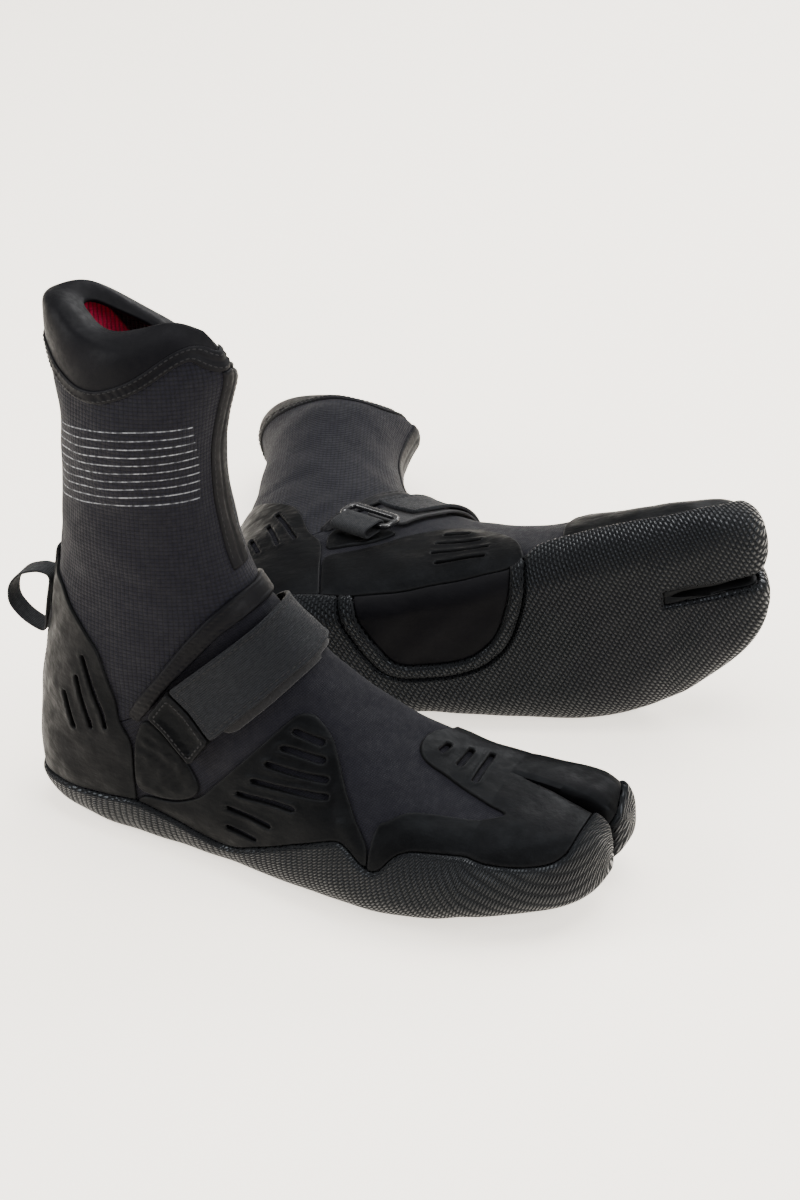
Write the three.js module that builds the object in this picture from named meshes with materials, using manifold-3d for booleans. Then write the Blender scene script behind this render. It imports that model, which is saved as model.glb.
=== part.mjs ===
// A pair of split-toe neoprene water boots: the right boot stands, the left one lies on its side behind it.
// Each boot is drawn in its own frame: toe along +X, inner side of the foot along +Y, up along +Z, heel near x = -45.
// One smooth surface is the outer face of the neoprene. Every sheet is a slice of a layer laid on that surface.
import * as THREE from 'three';
import { mergeVertices } from 'three/addons/utils/BufferGeometryUtils.js';
import Module from 'manifold-3d';

const wasm = await Module();
wasm.setup();

// Layers: distances from the outer face of the neoprene, outwards positive.
const GAP = 0.3;
const NEOPRENE = 3.2;
const LINING = 1.1;
const OVERLAY = 1.3;
const OUTSOLE = 3.1;
const TAPE = 0.9;
const RIDGE = 2.2;
const WEBBING = 1.2;
const HOOK_PAD = 0.8;
const FIRST = [GAP, GAP + OVERLAY];
const SECOND_FLOOR = FIRST[1] + GAP;
const UNDER_STRAP = [SECOND_FLOOR, SECOND_FLOOR + WEBBING];
const HOOKS = [UNDER_STRAP[1] + GAP, UNDER_STRAP[1] + GAP + HOOK_PAD];
const STRAP = [HOOKS[1] + GAP, HOOKS[1] + GAP + WEBBING];

// Widths and sizes of the small parts.
const FRONT_TAPE_WIDTH = 14;
const COLLAR_TAPE_WIDTH = 6;
const BACK_STRIP_WIDTH = 12;
const SLOT_WIDTH = 2.4;
const LOOP_WIDTH = 11;
const LOOP_HEIGHT = 35;
const LOOP_REACH = 23;
const RING_BAR = 3;
const KEEPER_WIDTH = 24;

// How the left boot lies behind the right one.
const LEFT_UP = new THREE.Vector3(0.118, 0.993, -0.013);
const LEFT_YAW = 22;
const LEFT_SHIFT = new THREE.Vector3(41, 85, 0);

// Panels across the half section, and rows per cross-section given below.
const SIDE_STEPS = 8;
const WALL_STEPS = 2;
const TIP_BULGE = 0.8;
const POCKET_ROUNDING_ROWS = 6;
const OUTER_ROUNDING = 0.7;
const CLEFT_SIDE_ROUNDING = 0.35;

// Round the cleft the sole stops and the thin toe rubber carries on.
const CLEFT_ZONE_START = 192;
const CLEFT_ZONE_WIDTH = 8;

// The sole's edge runs slantwise over the big toe, reaching further forward beside the cleft.
const BIG_TOE_SLANT = 0.35;
const SLANT_END_Y = 45;

// Cross-sections from the collar down the leg, round the heel and along the foot.
// Upper end x z, lower end x z, outer and inner half width, y of the upper and lower ends,
// height of the widest line as a share of the section, flat share of the floor.
const SECTIONS = [
  [53, 256, -15, 258.5, 10, 13, 0, 1, 0.5, 0],
  [57.5, 249, -31, 267.5, 22, 18, 0, 0, 0.5, 0],
  [59, 241, -34.5, 260, 30, 27.5, 0, 0, 0.5, 0],
  [53, 220, -26.5, 220, 36, 36, 0, 0, 0.5, 0],
  [51, 194, -27.5, 194, 35, 35, 0, 0, 0.5, 0],
  [54, 170, -29, 166, 34, 34, 0, 0, 0.5, 0],
  [60, 150, -33, 134, 34, 34, 1, 0, 0.5, 0],
  [68, 134, -39, 96, 34.5, 34.5, 2, 0, 0.5, 0],
  [79, 121, -46, 56, 36, 36, 4, 0, 0.46, 0],
  [90, 110, -43, 14, 37, 36, 6, 0, 0.42, 0.2],
  [98, 101, -20, 3, 38, 36, 8, 0, 0.4, 0.45],
  [108, 92, 12, 2, 39, 36, 9, 0, 0.38, 0.55],
  [122, 82, 52, 2, 42, 37, 11, 0, 0.36, 0.58],
  [139, 72, 90, 2, 47, 40, 13, 2, 0.35, 0.6],
  [156, 63.5, 124, 2, 52, 45, 15, 6, 0.34, 0.6],
  [171, 57.5, 152, 2.5, 53, 49, 16, 11, 0.34, 0.6],
  [184, 54, 176, 4.5, 50.5, 51.5, 17, 15, 0.34, 0.55],
  [191, 52.8, 191, 6.3, 47, 52, 17, 17, 0.36, 0.45],
];

// The two toe pockets: x, inner y, outer y, bottom z, top z.
const CLEFT_Y = 17;
const BIG_TOE = [
  [191, CLEFT_Y, 52, 6.3, 52.8],
  [199, 19.1, 52.3, 7.8, 52.4],
  [209, 19.4, 52.5, 9.2, 51.6],
  [220, 19.4, 52, 11, 50.4],
  [229.5, 19.5, 50, 13.5, 49],
  [236.5, 20, 47, 16.5, 46],
  [240.5, 22, 43.5, 20, 42],
  [242.8, 26, 39.5, 24, 37.5],
];
const SMALL_TOES = [
  [191, CLEFT_Y, -47, 6.3, 52.8],
  [199, 14.9, -44, 7.6, 52.2],
  [208, 14.6, -39, 8.8, 51],
  [218, 14.6, -32.5, 10.2, 49.5],
  [227.5, 14.5, -24.5, 12, 47.5],
  [235, 14.2, -16, 14.5, 45],
  [239.8, 12.8, -8, 17.5, 41.5],
  [242.3, 10, -1, 21, 36],
];

// Seams and edges seen from the side, as x z.
const COLLAR_SEAM_OUTER = [[-60, 254], [-34, 252], [-26, 246.5], [-14, 239], [-4, 236.5], [6, 236.5], [16, 240],
  [28, 246.5], [40, 256.5], [47, 259], [54, 254], [60, 250], [80, 248]];
const COLLAR_SEAM_INNER = [[-60, 254], [-34, 252], [-26, 246.5], [-14, 239], [-4, 236.5], [11, 234], [30, 231],
  [44, 234], [54, 248], [60, 250], [80, 248]];
const ANKLE_SEAM = [[-80, 62], [0, 62], [18, 70], [26, 81], [36, 95], [47, 113.5], [56, 125], [65, 131],
  [77, 135.5], [280, 200]];
const BOARD_EDGE = [[-80, 9], [140, 8], [176, 10], [197, 13], [221, 17], [235, 22], [280, 32]];
const SOLE_EDGE_OUTER = [[-80, 20], [-38, 18], [-2, 22], [17, 26], [54, 18], [70, 14], [94, 24], [127, 39],
  [135, 40], [152, 29], [162, 43], [190, 42], [201, 40], [217, 38], [227, 38], [232, 41], [235, 47], [236, 60],
  [280, 60]];
const SOLE_EDGE_INNER = [[-80, 20], [-17, 16], [38, 8], [118, 8], [133, 19], [163, 20], [200, 23], [220, 28],
  [231, 36], [237, 48], [280, 60]];

// Outlines seen from the side, as x z.
const HEEL_OUTLINE = [[-80, 0], [-80, 131], [-30, 131], [-22, 129], [-13, 118], [-5, 110], [2, 103], [8, 84],
  [12, 68], [18, 59], [19.4, 52], [20, 0]];
const OUTER_OVERLAY = [[20.4, 0], [20.4, 29], [42, 31], [56, 38], [66, 50], [83, 69], [96, 83], [100, 86], [107, 85],
  [119, 75], [127, 64], [135, 54], [143, 46], [148, 40], [148, 0]];
const INNER_OVERLAY = [[20.4, 0], [20.4, 42], [40, 46], [62, 56], [84, 63], [100, 58], [112, 46], [122, 30], [127.5, 0]];
const OUTER_PATCH = [[20.5, 33], [20.5, 60], [24, 71], [29, 72], [39, 64], [50, 53], [55, 45], [55, 40], [50, 35.5],
  [42, 32.5], [30, 31]];
const INNER_PATCH = [[21, 49], [22, 66], [30, 76], [44, 74], [56, 64], [58, 61.5], [41, 52.5]];
const RIDGE_OUTLINE = [[16, 72], [22.7, 83.3], [32.8, 97.3], [44, 114.6], [53.5, 126.8], [62, 135.5], [72, 141],
  [80, 134], [69, 126.5], [59, 118.7], [50.5, 107.7], [38.6, 93.1], [29, 78.9], [22.2, 69]];
const STRAP_TAB = [[29, 77], [38.5, 91.5], [61.5, 70], [52, 56]];
const STRAP_SIDE = [[39, 92], [62, 70.5], [112, 120], [90, 138]];
const STRAP_INNER_END = [[45, 97], [67, 79], [112, 120], [90, 138]];
const HOOK_OUTLINE = [[46.5, 97], [65.5, 81.5], [82, 97], [63, 112.5]];
const UNDER_OUTER_SIDE = [[52, 100], [50, 96], [52, 91], [63, 78], [68, 74.5], [73, 76], [118, 121], [98, 137]];
const UNDER_INNER_SIDE = [[40, 86], [60, 69], [118, 121], [98, 137]];
const HEEL_SLOTS = [[-7, 97, 5, 63], [-11, 85, -4, 60], [-19, 73, -14, 57]];
const OUTER_SLOTS = [[100, 79, 113, 75], [96, 72, 116, 69], [90, 64, 120, 62], [84, 55, 122, 56], [77, 47, 107, 48],
  [72, 38, 95, 36], [72, 28, 87, 26]];
const INNER_SLOTS = [[84, 52, 96, 49], [80, 42, 102, 39], [78, 32, 106, 29], [80, 22, 104, 20]];

// Outlines seen from above, as x y.
const TOE_OUTLINE = [[148.5, -80], [148.5, -42], [153, -40], [160, -33], [173, -27], [191, -20], [203, -12], [185, -8],
  [169, -5], [156, -4], [150.5, 1], [149, 11], [151, 18], [157, 30], [152, 42], [128, 60], [128, 80],
  [280, 80], [280, -80]];
const TOE_SLOTS = [[160, 13.5, 159, 7], [169.5, 18.5, 169, 5], [178.5, 23, 179, 0.5]];
const ARCH_WINDOW = [[37, 60], [37, 23], [44, 10], [52, -4], [60, -8], [82, -8], [95, -5], [107, 5], [114, 22],
  [118, 38], [118, 60]];
const ARCH_RIM = [[29, 60], [29, 22], [37, 6], [46, -9], [57, -15], [84, -15], [99, -11], [113, 0], [121, 20],
  [125.5, 38], [125.5, 60]];

const COLORS = {
  neoprene: [0x1f1f24, 0.85],
  skin: [0x232326, 0.45],
  lining: [0xb4062c, 0.9],
  rubber: [0x262627, 0.55],
  texturedRubber: [0x2b2b2b, 0.7],
  webbing: [0x1d1d1e, 0.8],
  plastic: [0x111112, 0.25],
  board: [0x3a3a3c, 0.9],
};

// ---- the boot's surface ----

// Point on the smooth curve through the rows of a table, at a fractional row.
function between(table, at) {
  const i = Math.min(Math.floor(at), table.length - 2);
  const u = at - i;
  return table[i].map((start, k) => {
    const end = table[i + 1][k];
    const before = i > 0 ? table[i - 1][k] : 2 * start - end;
    const after = i < table.length - 2 ? table[i + 2][k] : 2 * end - start;
    const slopeIn = (end - before) / 2;
    const slopeOut = (after - start) / 2;
    return (2 * u ** 3 - 3 * u ** 2 + 1) * start + (u ** 3 - 2 * u ** 2 + u) * slopeIn
      + (3 * u ** 2 - 2 * u ** 3) * end + (u ** 3 - u ** 2) * slopeOut;
  });
}

// Points evenly spaced along a polyline of x y pairs.
function evenly(points, steps) {
  const curve = new THREE.CurvePath();
  for (let i = 1; i < points.length; i++) {
    curve.add(new THREE.LineCurve(new THREE.Vector2(...points[i - 1]), new THREE.Vector2(...points[i])));
  }
  return Array.from({ length: steps + 1 }, (_, i) => curve.getPointAt(i / steps));
}

// One side of a section as across-the-foot and up coordinates, from the top over the side to the floor.
function halfSection(width, up, down, flat, topY, bottomY) {
  const power = 2 / (2 + 1.2 * flat);
  const points = [];
  for (let i = 0; i <= 20; i++) {
    const a = (i / 20) * Math.PI / 2;
    points.push([topY + (width - topY) * Math.sin(a) ** power, up * Math.abs(Math.cos(a)) ** power]);
  }
  const edge = bottomY + (width - bottomY) * flat;
  for (let i = 1; i <= 20; i++) {
    const a = (i / 20) * Math.PI / 2;
    points.push([edge + (width - edge) * Math.cos(a), -down * Math.sin(a)]);
  }
  points.push([bottomY, -down]);
  return evenly(points, SIDE_STEPS);
}

// How much the collar's rim rises: a peak at the back, a crest at the front outside and a dip inside.
function rimRise(x, y) {
  const front = (y < 0 ? 13 : 16) * THREE.MathUtils.clamp(-y / 5, -1, 1);
  return 8 * Math.exp(-(((x + 20) / 14) ** 2)) + front * Math.exp(-(((x - 37) / 22) ** 2));
}

// A closed ring of points: top, inner side, floor, outer side.
function sectionRing(at) {
  const [topX, topZ, lowX, lowZ, outer, inner, topY, lowY, share, flat] = between(SECTIONS, at);
  const top = new THREE.Vector2(topX, topZ);
  const low = new THREE.Vector2(lowX, lowZ);
  const length = top.distanceTo(low);
  const up = top.clone().sub(low).normalize();
  const centre = low.clone().addScaledVector(up, length * share);
  const side = (width) => halfSection(width, length * (1 - share), length * share, flat, topY, lowY);
  const loop = [...side(inner).slice(0, -1), ...side(-outer).reverse().slice(0, -1)];
  const lift = Math.max(0, 1 - 0.35 * at);
  return loop.map((p) => {
    const x = centre.x + up.x * p.y;
    return new THREE.Vector3(x, p.x, centre.y + up.y * p.y + lift * rimRise(x, p.x));
  });
}

// Rings of one toe pocket, each matched point for point to half of the last section and the wall of the cleft.
function pocketRings(table, start) {
  const [, inner0, outer0, low0, top0] = table[0];
  const count = start.length;
  return table.slice(1).map(([x, inner, outer, low, top], row) => {
    const round = THREE.MathUtils.smoothstep(row + 1, 0, POCKET_ROUNDING_ROWS);
    return start.map((p, j) => {
      const turn = j <= SIDE_STEPS
        ? 0.75 - 1.5 * (j / SIDE_STEPS)
        : -0.75 - 0.5 * ((j - SIDE_STEPS) / (count - SIDE_STEPS));
      const c = Math.cos(turn * Math.PI);
      const s = Math.sin(turn * Math.PI);
      const power = c < 0 ? CLEFT_SIDE_ROUNDING : OUTER_ROUNDING;
      const roundU = 0.5 + 0.5 * Math.sign(c) * Math.abs(c) ** power;
      const roundV = 0.45 + (s > 0 ? 0.55 : 0.45) * Math.sign(s) * Math.abs(s) ** power;
      const u = THREE.MathUtils.lerp((p.y - inner0) / (outer0 - inner0), roundU, round);
      const v = THREE.MathUtils.lerp((p.z - low0) / (top0 - low0), roundV, round);
      return new THREE.Vector3(x, inner + (outer - inner) * u, low + (top - low) * v);
    });
  });
}

// The whole outer face of the neoprene: points, faces turned outwards and an outward direction at each point.
function bootSurface() {
  const points = [];
  const faces = [];
  const add = (list) => list.map((p) => points.push(p) - 1);
  const join = (a, b, flip) => {
    for (let j = 0; j < a.length; j++) {
      const k = (j + 1) % a.length;
      const face = [a[j], b[j], b[k], a[k]];
      faces.push(flip ? face.reverse() : face);
    }
  };
  const rings = SECTIONS.map((_, i) => add(sectionRing(i)));
  for (let i = 1; i < rings.length; i++) join(rings[i - 1], rings[i], false);

  const last = rings[rings.length - 1];
  const top = last[0];
  const low = last[SIDE_STEPS];
  const wall = add(Array.from({ length: WALL_STEPS - 1 }, (_, i) =>
    points[low].clone().lerp(points[top], (i + 1) / WALL_STEPS)));
  const innerHalf = last.slice(0, SIDE_STEPS + 1);
  const outerHalf = [top, ...last.slice(SIDE_STEPS).reverse()];
  for (const [table, half, flip] of [[BIG_TOE, innerHalf, false], [SMALL_TOES, outerHalf, true]]) {
    let ring = [...half, ...wall];
    for (const next of pocketRings(table, ring.map((i) => points[i])).map(add)) {
      join(ring, next, flip);
      ring = next;
    }
    const middle = ring.reduce((sum, i) => sum.add(points[i]), new THREE.Vector3()).divideScalar(ring.length);
    const [tip] = add([middle.setX(middle.x + TIP_BULGE)]);
    ring.forEach((a, j) => {
      const face = [a, tip, ring[(j + 1) % ring.length]];
      faces.push(flip ? face.reverse() : face);
    });
  }
  return { points, faces, rim: rings[0], outward: pointDirections(points, faces) };
}

// Area-weighted outward direction at every point.
function pointDirections(points, faces) {
  const directions = points.map(() => new THREE.Vector3());
  for (const face of faces) {
    const [a, b, c, d] = face.map((i) => points[i]);
    const across = c.clone().sub(a);
    const other = (d ?? a).clone().sub(b);
    const normal = across.cross(other);
    face.forEach((i) => directions[i].add(normal));
  }
  return directions.map((n) => n.normalize());
}

const surface = bootSurface();

// ---- solids ----

function toManifold(geometry) {
  const bare = new THREE.BufferGeometry();
  bare.setAttribute('position', geometry.getAttribute('position'));
  bare.setIndex(geometry.getIndex());
  const merged = mergeVertices(bare, 1e-4);
  return new wasm.Manifold(new wasm.Mesh({
    numProp: 3,
    vertProperties: new Float32Array(merged.getAttribute('position').array),
    triVerts: new Uint32Array(merged.getIndex().array),
  }));
}

// A closed sheet over the whole boot, open only at the rim, between two distances from the surface.
function sheet([from, to]) {
  const positions = [];
  for (const distance of [to, from]) {
    surface.points.forEach((p, i) => positions.push(...p.clone().addScaledVector(surface.outward[i], distance)));
  }
  const count = surface.points.length;
  const index = [];
  const triangle = (a, b, c) => index.push(a, b, c);
  for (const [a, b, c, d] of surface.faces) {
    triangle(a, b, c);
    triangle(a + count, c + count, b + count);
    if (d === undefined) continue;
    triangle(a, c, d);
    triangle(a + count, d + count, c + count);
  }
  surface.rim.forEach((a, j) => {
    const b = surface.rim[(j + 1) % surface.rim.length];
    triangle(a, b, b + count);
    triangle(a, b + count, a + count);
  });
  const geometry = new THREE.BufferGeometry();
  geometry.setAttribute('position', new THREE.Float32BufferAttribute(positions, 3));
  geometry.setIndex(index);
  return toManifold(geometry);
}

// A prism over an outline seen from the side, between two y values.
function fromSide(outline, y0 = -90, y1 = 90) {
  const shape = new THREE.Shape(outline.map((p) => new THREE.Vector2(...p)));
  const geometry = new THREE.ExtrudeGeometry(shape, { depth: y1 - y0, bevelEnabled: false });
  geometry.rotateX(Math.PI / 2);
  geometry.translate(0, y1, 0);
  return toManifold(geometry);
}

// The prism over the inner side of the foot, leaning forward towards the cleft.
function fromInnerSide(outline) {
  const slant = new THREE.Matrix4().makeShear(0, 0, -BIG_TOE_SLANT, 0, 0, 0);
  slant.premultiply(new THREE.Matrix4().makeTranslation(BIG_TOE_SLANT * SLANT_END_Y, 0, 0));
  const leaning = fromSide(outline, CLEFT_Y, SLANT_END_Y).transform(slant.elements);
  return leaning.add(fromSide(outline, SLANT_END_Y, 90));
}

// A prism over an outline seen from above, between two heights.
function fromAbove(outline, z0, z1) {
  const shape = new THREE.Shape(outline.map((p) => new THREE.Vector2(...p)));
  const geometry = new THREE.ExtrudeGeometry(shape, { depth: z1 - z0, bevelEnabled: false });
  geometry.translate(0, 0, z0);
  return toManifold(geometry);
}

// The outline of everything above or below an edge, held back from it.
function above(edge, clear = GAP) {
  const line = edge.map(([x, z]) => [x, z + clear]);
  return [...line, [line[line.length - 1][0], 320], [line[0][0], 320]];
}

function below(edge, clear = GAP) {
  const line = edge.map(([x, z]) => [x, z - clear]);
  return [...line, [line[line.length - 1][0], -40], [line[0][0], -40]];
}

// A round-ended slot outline between two points.
function slotOutline([x0, z0, x1, z1]) {
  const along = Math.atan2(z1 - z0, x1 - x0);
  const outline = [];
  for (const [x, z, start] of [[x1, z1, along - Math.PI / 2], [x0, z0, along + Math.PI / 2]]) {
    for (let i = 0; i <= 2; i++) {
      const a = start + (i / 2) * Math.PI;
      outline.push([x + Math.cos(a) * SLOT_WIDTH / 2, z + Math.sin(a) * SLOT_WIDTH / 2]);
    }
  }
  return outline;
}

// A band of even width along part of an edge.
function bandOutline(edge, width) {
  const left = [];
  const right = [];
  edge.forEach(([x, z], i) => {
    const [ax, az] = edge[Math.max(0, i - 1)];
    const [bx, bz] = edge[Math.min(edge.length - 1, i + 1)];
    const length = Math.hypot(bx - ax, bz - az);
    const nx = -(bz - az) / length * width / 2;
    const nz = (bx - ax) / length * width / 2;
    left.push([x + nx, z + nz]);
    right.unshift([x - nx, z - nz]);
  });
  return [...left, ...right];
}

function box(x0, x1, y0, y1, z0, z1) {
  const geometry = new THREE.BoxGeometry(x1 - x0, y1 - y0, z1 - z0);
  geometry.translate((x0 + x1) / 2, (y0 + y1) / 2, (z0 + z1) / 2);
  return toManifold(geometry);
}

// The upright strip round the cleft, held back by a clearance.
function cleftZone(clear) {
  const half = CLEFT_ZONE_WIDTH / 2 - clear;
  return box(CLEFT_ZONE_START + clear, 280, CLEFT_Y - half, CLEFT_Y + half, -20, 100);
}

function cutSlots(solid, slots, prism) {
  return slots.reduce((rest, slot) => rest.subtract(prism(slotOutline(slot))), solid);
}

// ---- the layers and the regions that several parts share ----

const neoprene = sheet([-NEOPRENE, 0]);
const lining = sheet([-NEOPRENE - 2 * GAP - LINING, -NEOPRENE - 2 * GAP]);
const overlay = sheet(FIRST);
const soleRegion = fromSide(below(SOLE_EDGE_OUTER, 0), -90, CLEFT_Y)
  .add(fromInnerSide(below(SOLE_EDGE_INNER, 0)))
  .subtract(cleftZone(0));
const overlayRegion = fromSide(above(SOLE_EDGE_OUTER, 2 * GAP), -90, CLEFT_Y)
  .add(fromInnerSide(above(SOLE_EDGE_INNER, 2 * GAP)))
  .add(cleftZone(GAP));
const aboveSole = overlay.intersect(overlayRegion);
const collarRegion = fromSide(above(COLLAR_SEAM_OUTER), -90, 0).add(fromSide(above(COLLAR_SEAM_INNER), 0, 90));
const belowCollar = fromSide(below(COLLAR_SEAM_OUTER), -90, 0).add(fromSide(below(COLLAR_SEAM_INNER), 0, 90));

// ---- the parts of one boot ----

function insoleBoard() {
  return neoprene.intersect(fromSide(below(BOARD_EDGE)));
}

function footUpper() {
  return neoprene.intersect(fromSide(below(ANKLE_SEAM))).intersect(fromSide(above(BOARD_EDGE)));
}

function legPanel() {
  return neoprene.intersect(fromSide(above(ANKLE_SEAM))).intersect(belowCollar);
}

function collar() {
  return neoprene.intersect(collarRegion);
}

function footLining() {
  return lining.intersect(fromSide(below(ANKLE_SEAM)));
}

function legLining() {
  return lining.intersect(fromSide(above(ANKLE_SEAM)));
}

function outsole() {
  return sheet([GAP, GAP + OUTSOLE]).intersect(soleRegion).subtract(fromAbove(ARCH_RIM, -20, 30));
}

function archRim() {
  return sheet([GAP, GAP + OUTSOLE])
    .intersect(soleRegion)
    .intersect(fromAbove(ARCH_RIM.map(([x, y]) => [77 + (x - 77) * 0.99, y + 0.4]), -20, 30))
    .subtract(fromAbove(ARCH_WINDOW, -20, 30));
}

function archPanel() {
  return overlay
    .intersect(soleRegion)
    .intersect(fromAbove(ARCH_WINDOW.map(([x, y]) => [77 + (x - 77) * 0.985, y + 0.5]), -20, 30));
}

function heelCounter() {
  const whole = aboveSole.intersect(fromSide(HEEL_OUTLINE));
  return cutSlots(whole, HEEL_SLOTS, (outline) => fromSide(outline));
}

function outerOverlay() {
  const whole = aboveSole.intersect(fromSide(OUTER_OVERLAY, -90, -5));
  return cutSlots(whole, OUTER_SLOTS, (outline) => fromSide(outline, -90, -5));
}

function innerOverlay() {
  const whole = aboveSole.intersect(fromSide(INNER_OVERLAY, 5, 90));
  return cutSlots(whole, INNER_SLOTS, (outline) => fromSide(outline, 5, 90));
}

function toeOverlay() {
  const whole = aboveSole.intersect(fromAbove(TOE_OUTLINE, 0, 90));
  return cutSlots(whole, TOE_SLOTS, (outline) => fromAbove(outline, 50, 90));
}

function outerPatch() {
  return overlay.intersect(fromSide(OUTER_PATCH, -90, 0));
}

function innerPatch() {
  return overlay.intersect(fromSide(INNER_PATCH, 0, 90));
}

function ankleRidge() {
  return sheet([GAP, GAP + RIDGE]).intersect(fromSide(RIDGE_OUTLINE));
}

function frontTape() {
  const half = FRONT_TAPE_WIDTH / 2;
  return sheet([GAP, GAP + TAPE])
    .intersect(box(30, 90, -half, half, 146, 254))
    .intersect(belowCollar)
    .subtract(collarBands(COLLAR_TAPE_WIDTH + 2 * GAP));
}

function collarBands(width) {
  return fromSide(bandOutline(COLLAR_SEAM_OUTER, width), -90, 0)
    .add(fromSide(bandOutline(COLLAR_SEAM_INNER, width), 0, 90));
}

function collarTape() {
  return sheet([GAP, GAP + TAPE]).intersect(collarBands(COLLAR_TAPE_WIDTH));
}

function backStrip() {
  const half = BACK_STRIP_WIDTH / 2;
  return sheet([SECOND_FLOOR, SECOND_FLOOR + WEBBING]).intersect(box(-90, 0, -half, half, 22, 136));
}

function strapTab() {
  return sheet([SECOND_FLOOR, STRAP[1]]).intersect(fromSide(STRAP_TAB, -90, 0));
}

function instepStrap() {
  return sheet(STRAP).intersect(fromSide(STRAP_SIDE, -90, 4).add(fromSide(STRAP_INNER_END, 4, 90)));
}

function hookPad() {
  return sheet(HOOKS).intersect(fromSide(HOOK_OUTLINE, 4, 90));
}

function underStrap() {
  return sheet(UNDER_STRAP).intersect(fromSide(UNDER_OUTER_SIDE, -90, 4).add(fromSide(UNDER_INNER_SIDE, 4, 90)));
}

// The ring and its keeper lie on the inner side, square to the strap.
const RING_CENTRE = new THREE.Vector3(44, 41.6, 73);
const STRAP_DIRECTION = new THREE.Vector3(0.633, 0, 0.775);

function onInnerSide(geometry) {
  const across = new THREE.Vector3(0.775, 0, -0.633);
  const frame = new THREE.Matrix4().makeBasis(STRAP_DIRECTION, across, STRAP_DIRECTION.clone().cross(across));
  geometry.applyMatrix4(frame);
  geometry.translate(...RING_CENTRE.toArray());
  return geometry;
}

function roundedRectangle(target, halfX, halfY, radius) {
  target.absarc(halfX - radius, halfY - radius, radius, 0, Math.PI / 2);
  target.absarc(-halfX + radius, halfY - radius, radius, Math.PI / 2, Math.PI);
  target.absarc(-halfX + radius, -halfY + radius, radius, Math.PI, Math.PI * 1.5);
  target.absarc(halfX - radius, -halfY + radius, radius, Math.PI * 1.5, Math.PI * 2);
  return target;
}

function ring() {
  const shape = roundedRectangle(new THREE.Shape(), 7, 17.5, 3);
  shape.holes.push(roundedRectangle(new THREE.Path(), 7 - RING_BAR, 17.5 - RING_BAR, 1));
  const geometry = new THREE.ExtrudeGeometry(shape, { depth: RING_BAR, bevelEnabled: false, curveSegments: 2 });
  geometry.translate(0, 0, -RING_BAR / 2);
  return toManifold(onInnerSide(geometry));
}

// Webbing folded round the lower bar of the ring.
function ringKeeper() {
  const shape = roundedRectangle(new THREE.Shape(), 8, 3.3, 3.2);
  shape.holes.push(roundedRectangle(new THREE.Path(), 6.8, 2.1, 2));
  const geometry = new THREE.ExtrudeGeometry(shape, { depth: KEEPER_WIDTH, bevelEnabled: false, curveSegments: 2 });
  geometry.rotateX(Math.PI / 2);
  geometry.translate(-9.8, KEEPER_WIDTH / 2, 0);
  return toManifold(onInnerSide(geometry));
}

// A loop of webbing standing off the back of the heel.
function pullLoop() {
  const outer = [[0, 17], [-8, 16.5], [-18, 11], [-LOOP_REACH, 2], [-22, -8], [-14, -15], [-6, -17.5], [0, -17.5]];
  const inner = outer.map(([x, z]) => [
    x + (-LOOP_REACH / 2 - x) * 2 * WEBBING / LOOP_REACH,
    z - z * 2 * WEBBING / LOOP_HEIGHT,
  ]);
  const shape = new THREE.Shape(outer.map((p) => new THREE.Vector2(...p)));
  shape.holes.push(new THREE.Path(inner.map((p) => new THREE.Vector2(...p))));
  const geometry = new THREE.ExtrudeGeometry(shape, { depth: LOOP_WIDTH, bevelEnabled: false });
  geometry.rotateX(Math.PI / 2);
  geometry.rotateY(THREE.MathUtils.degToRad(9));
  geometry.translate(-42.1, LOOP_WIDTH / 2, 102);
  return toManifold(geometry);
}

const PARTS = [
  ['insole_board', insoleBoard, 'board'],
  ['foot_upper', footUpper, 'neoprene'],
  ['leg_panel', legPanel, 'neoprene'],
  ['collar', collar, 'skin'],
  ['foot_lining', footLining, 'lining'],
  ['leg_lining', legLining, 'lining'],
  ['outsole', outsole, 'texturedRubber'],
  ['arch_rim', archRim, 'texturedRubber'],
  ['arch_panel', archPanel, 'skin'],
  ['heel_counter', heelCounter, 'rubber'],
  ['outer_side_overlay', outerOverlay, 'rubber'],
  ['inner_side_overlay', innerOverlay, 'rubber'],
  ['toe_overlay', toeOverlay, 'rubber'],
  ['outer_strap_patch', outerPatch, 'rubber'],
  ['inner_strap_patch', innerPatch, 'rubber'],
  ['ankle_seam_ridge', ankleRidge, 'rubber'],
  ['front_seam_tape', frontTape, 'skin'],
  ['collar_seam_tape', collarTape, 'skin'],
  ['heel_strip', backStrip, 'webbing'],
  ['strap_tab', strapTab, 'webbing'],
  ['instep_strap', instepStrap, 'webbing'],
  ['hook_pad', hookPad, 'webbing'],
  ['under_strap', underStrap, 'webbing'],
  ['strap_ring', ring, 'plastic'],
  ['ring_keeper', ringKeeper, 'webbing'],
  ['pull_loop', pullLoop, 'webbing'],
];

function toGeometry(solid) {
  const mesh = solid.getMesh();
  const geometry = new THREE.BufferGeometry();
  geometry.setAttribute('position', new THREE.Float32BufferAttribute(mesh.vertProperties, 3));
  geometry.setIndex(Array.from(mesh.triVerts));
  return geometry;
}

// ---- the pair ----

// A mirrored placement turns every triangle inside out, so its corners are listed the other way round.
function placed(geometry, matrix) {
  const copy = geometry.clone().applyMatrix4(matrix);
  if (matrix.determinant() < 0) copy.getIndex().array.reverse();
  return copy;
}

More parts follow.
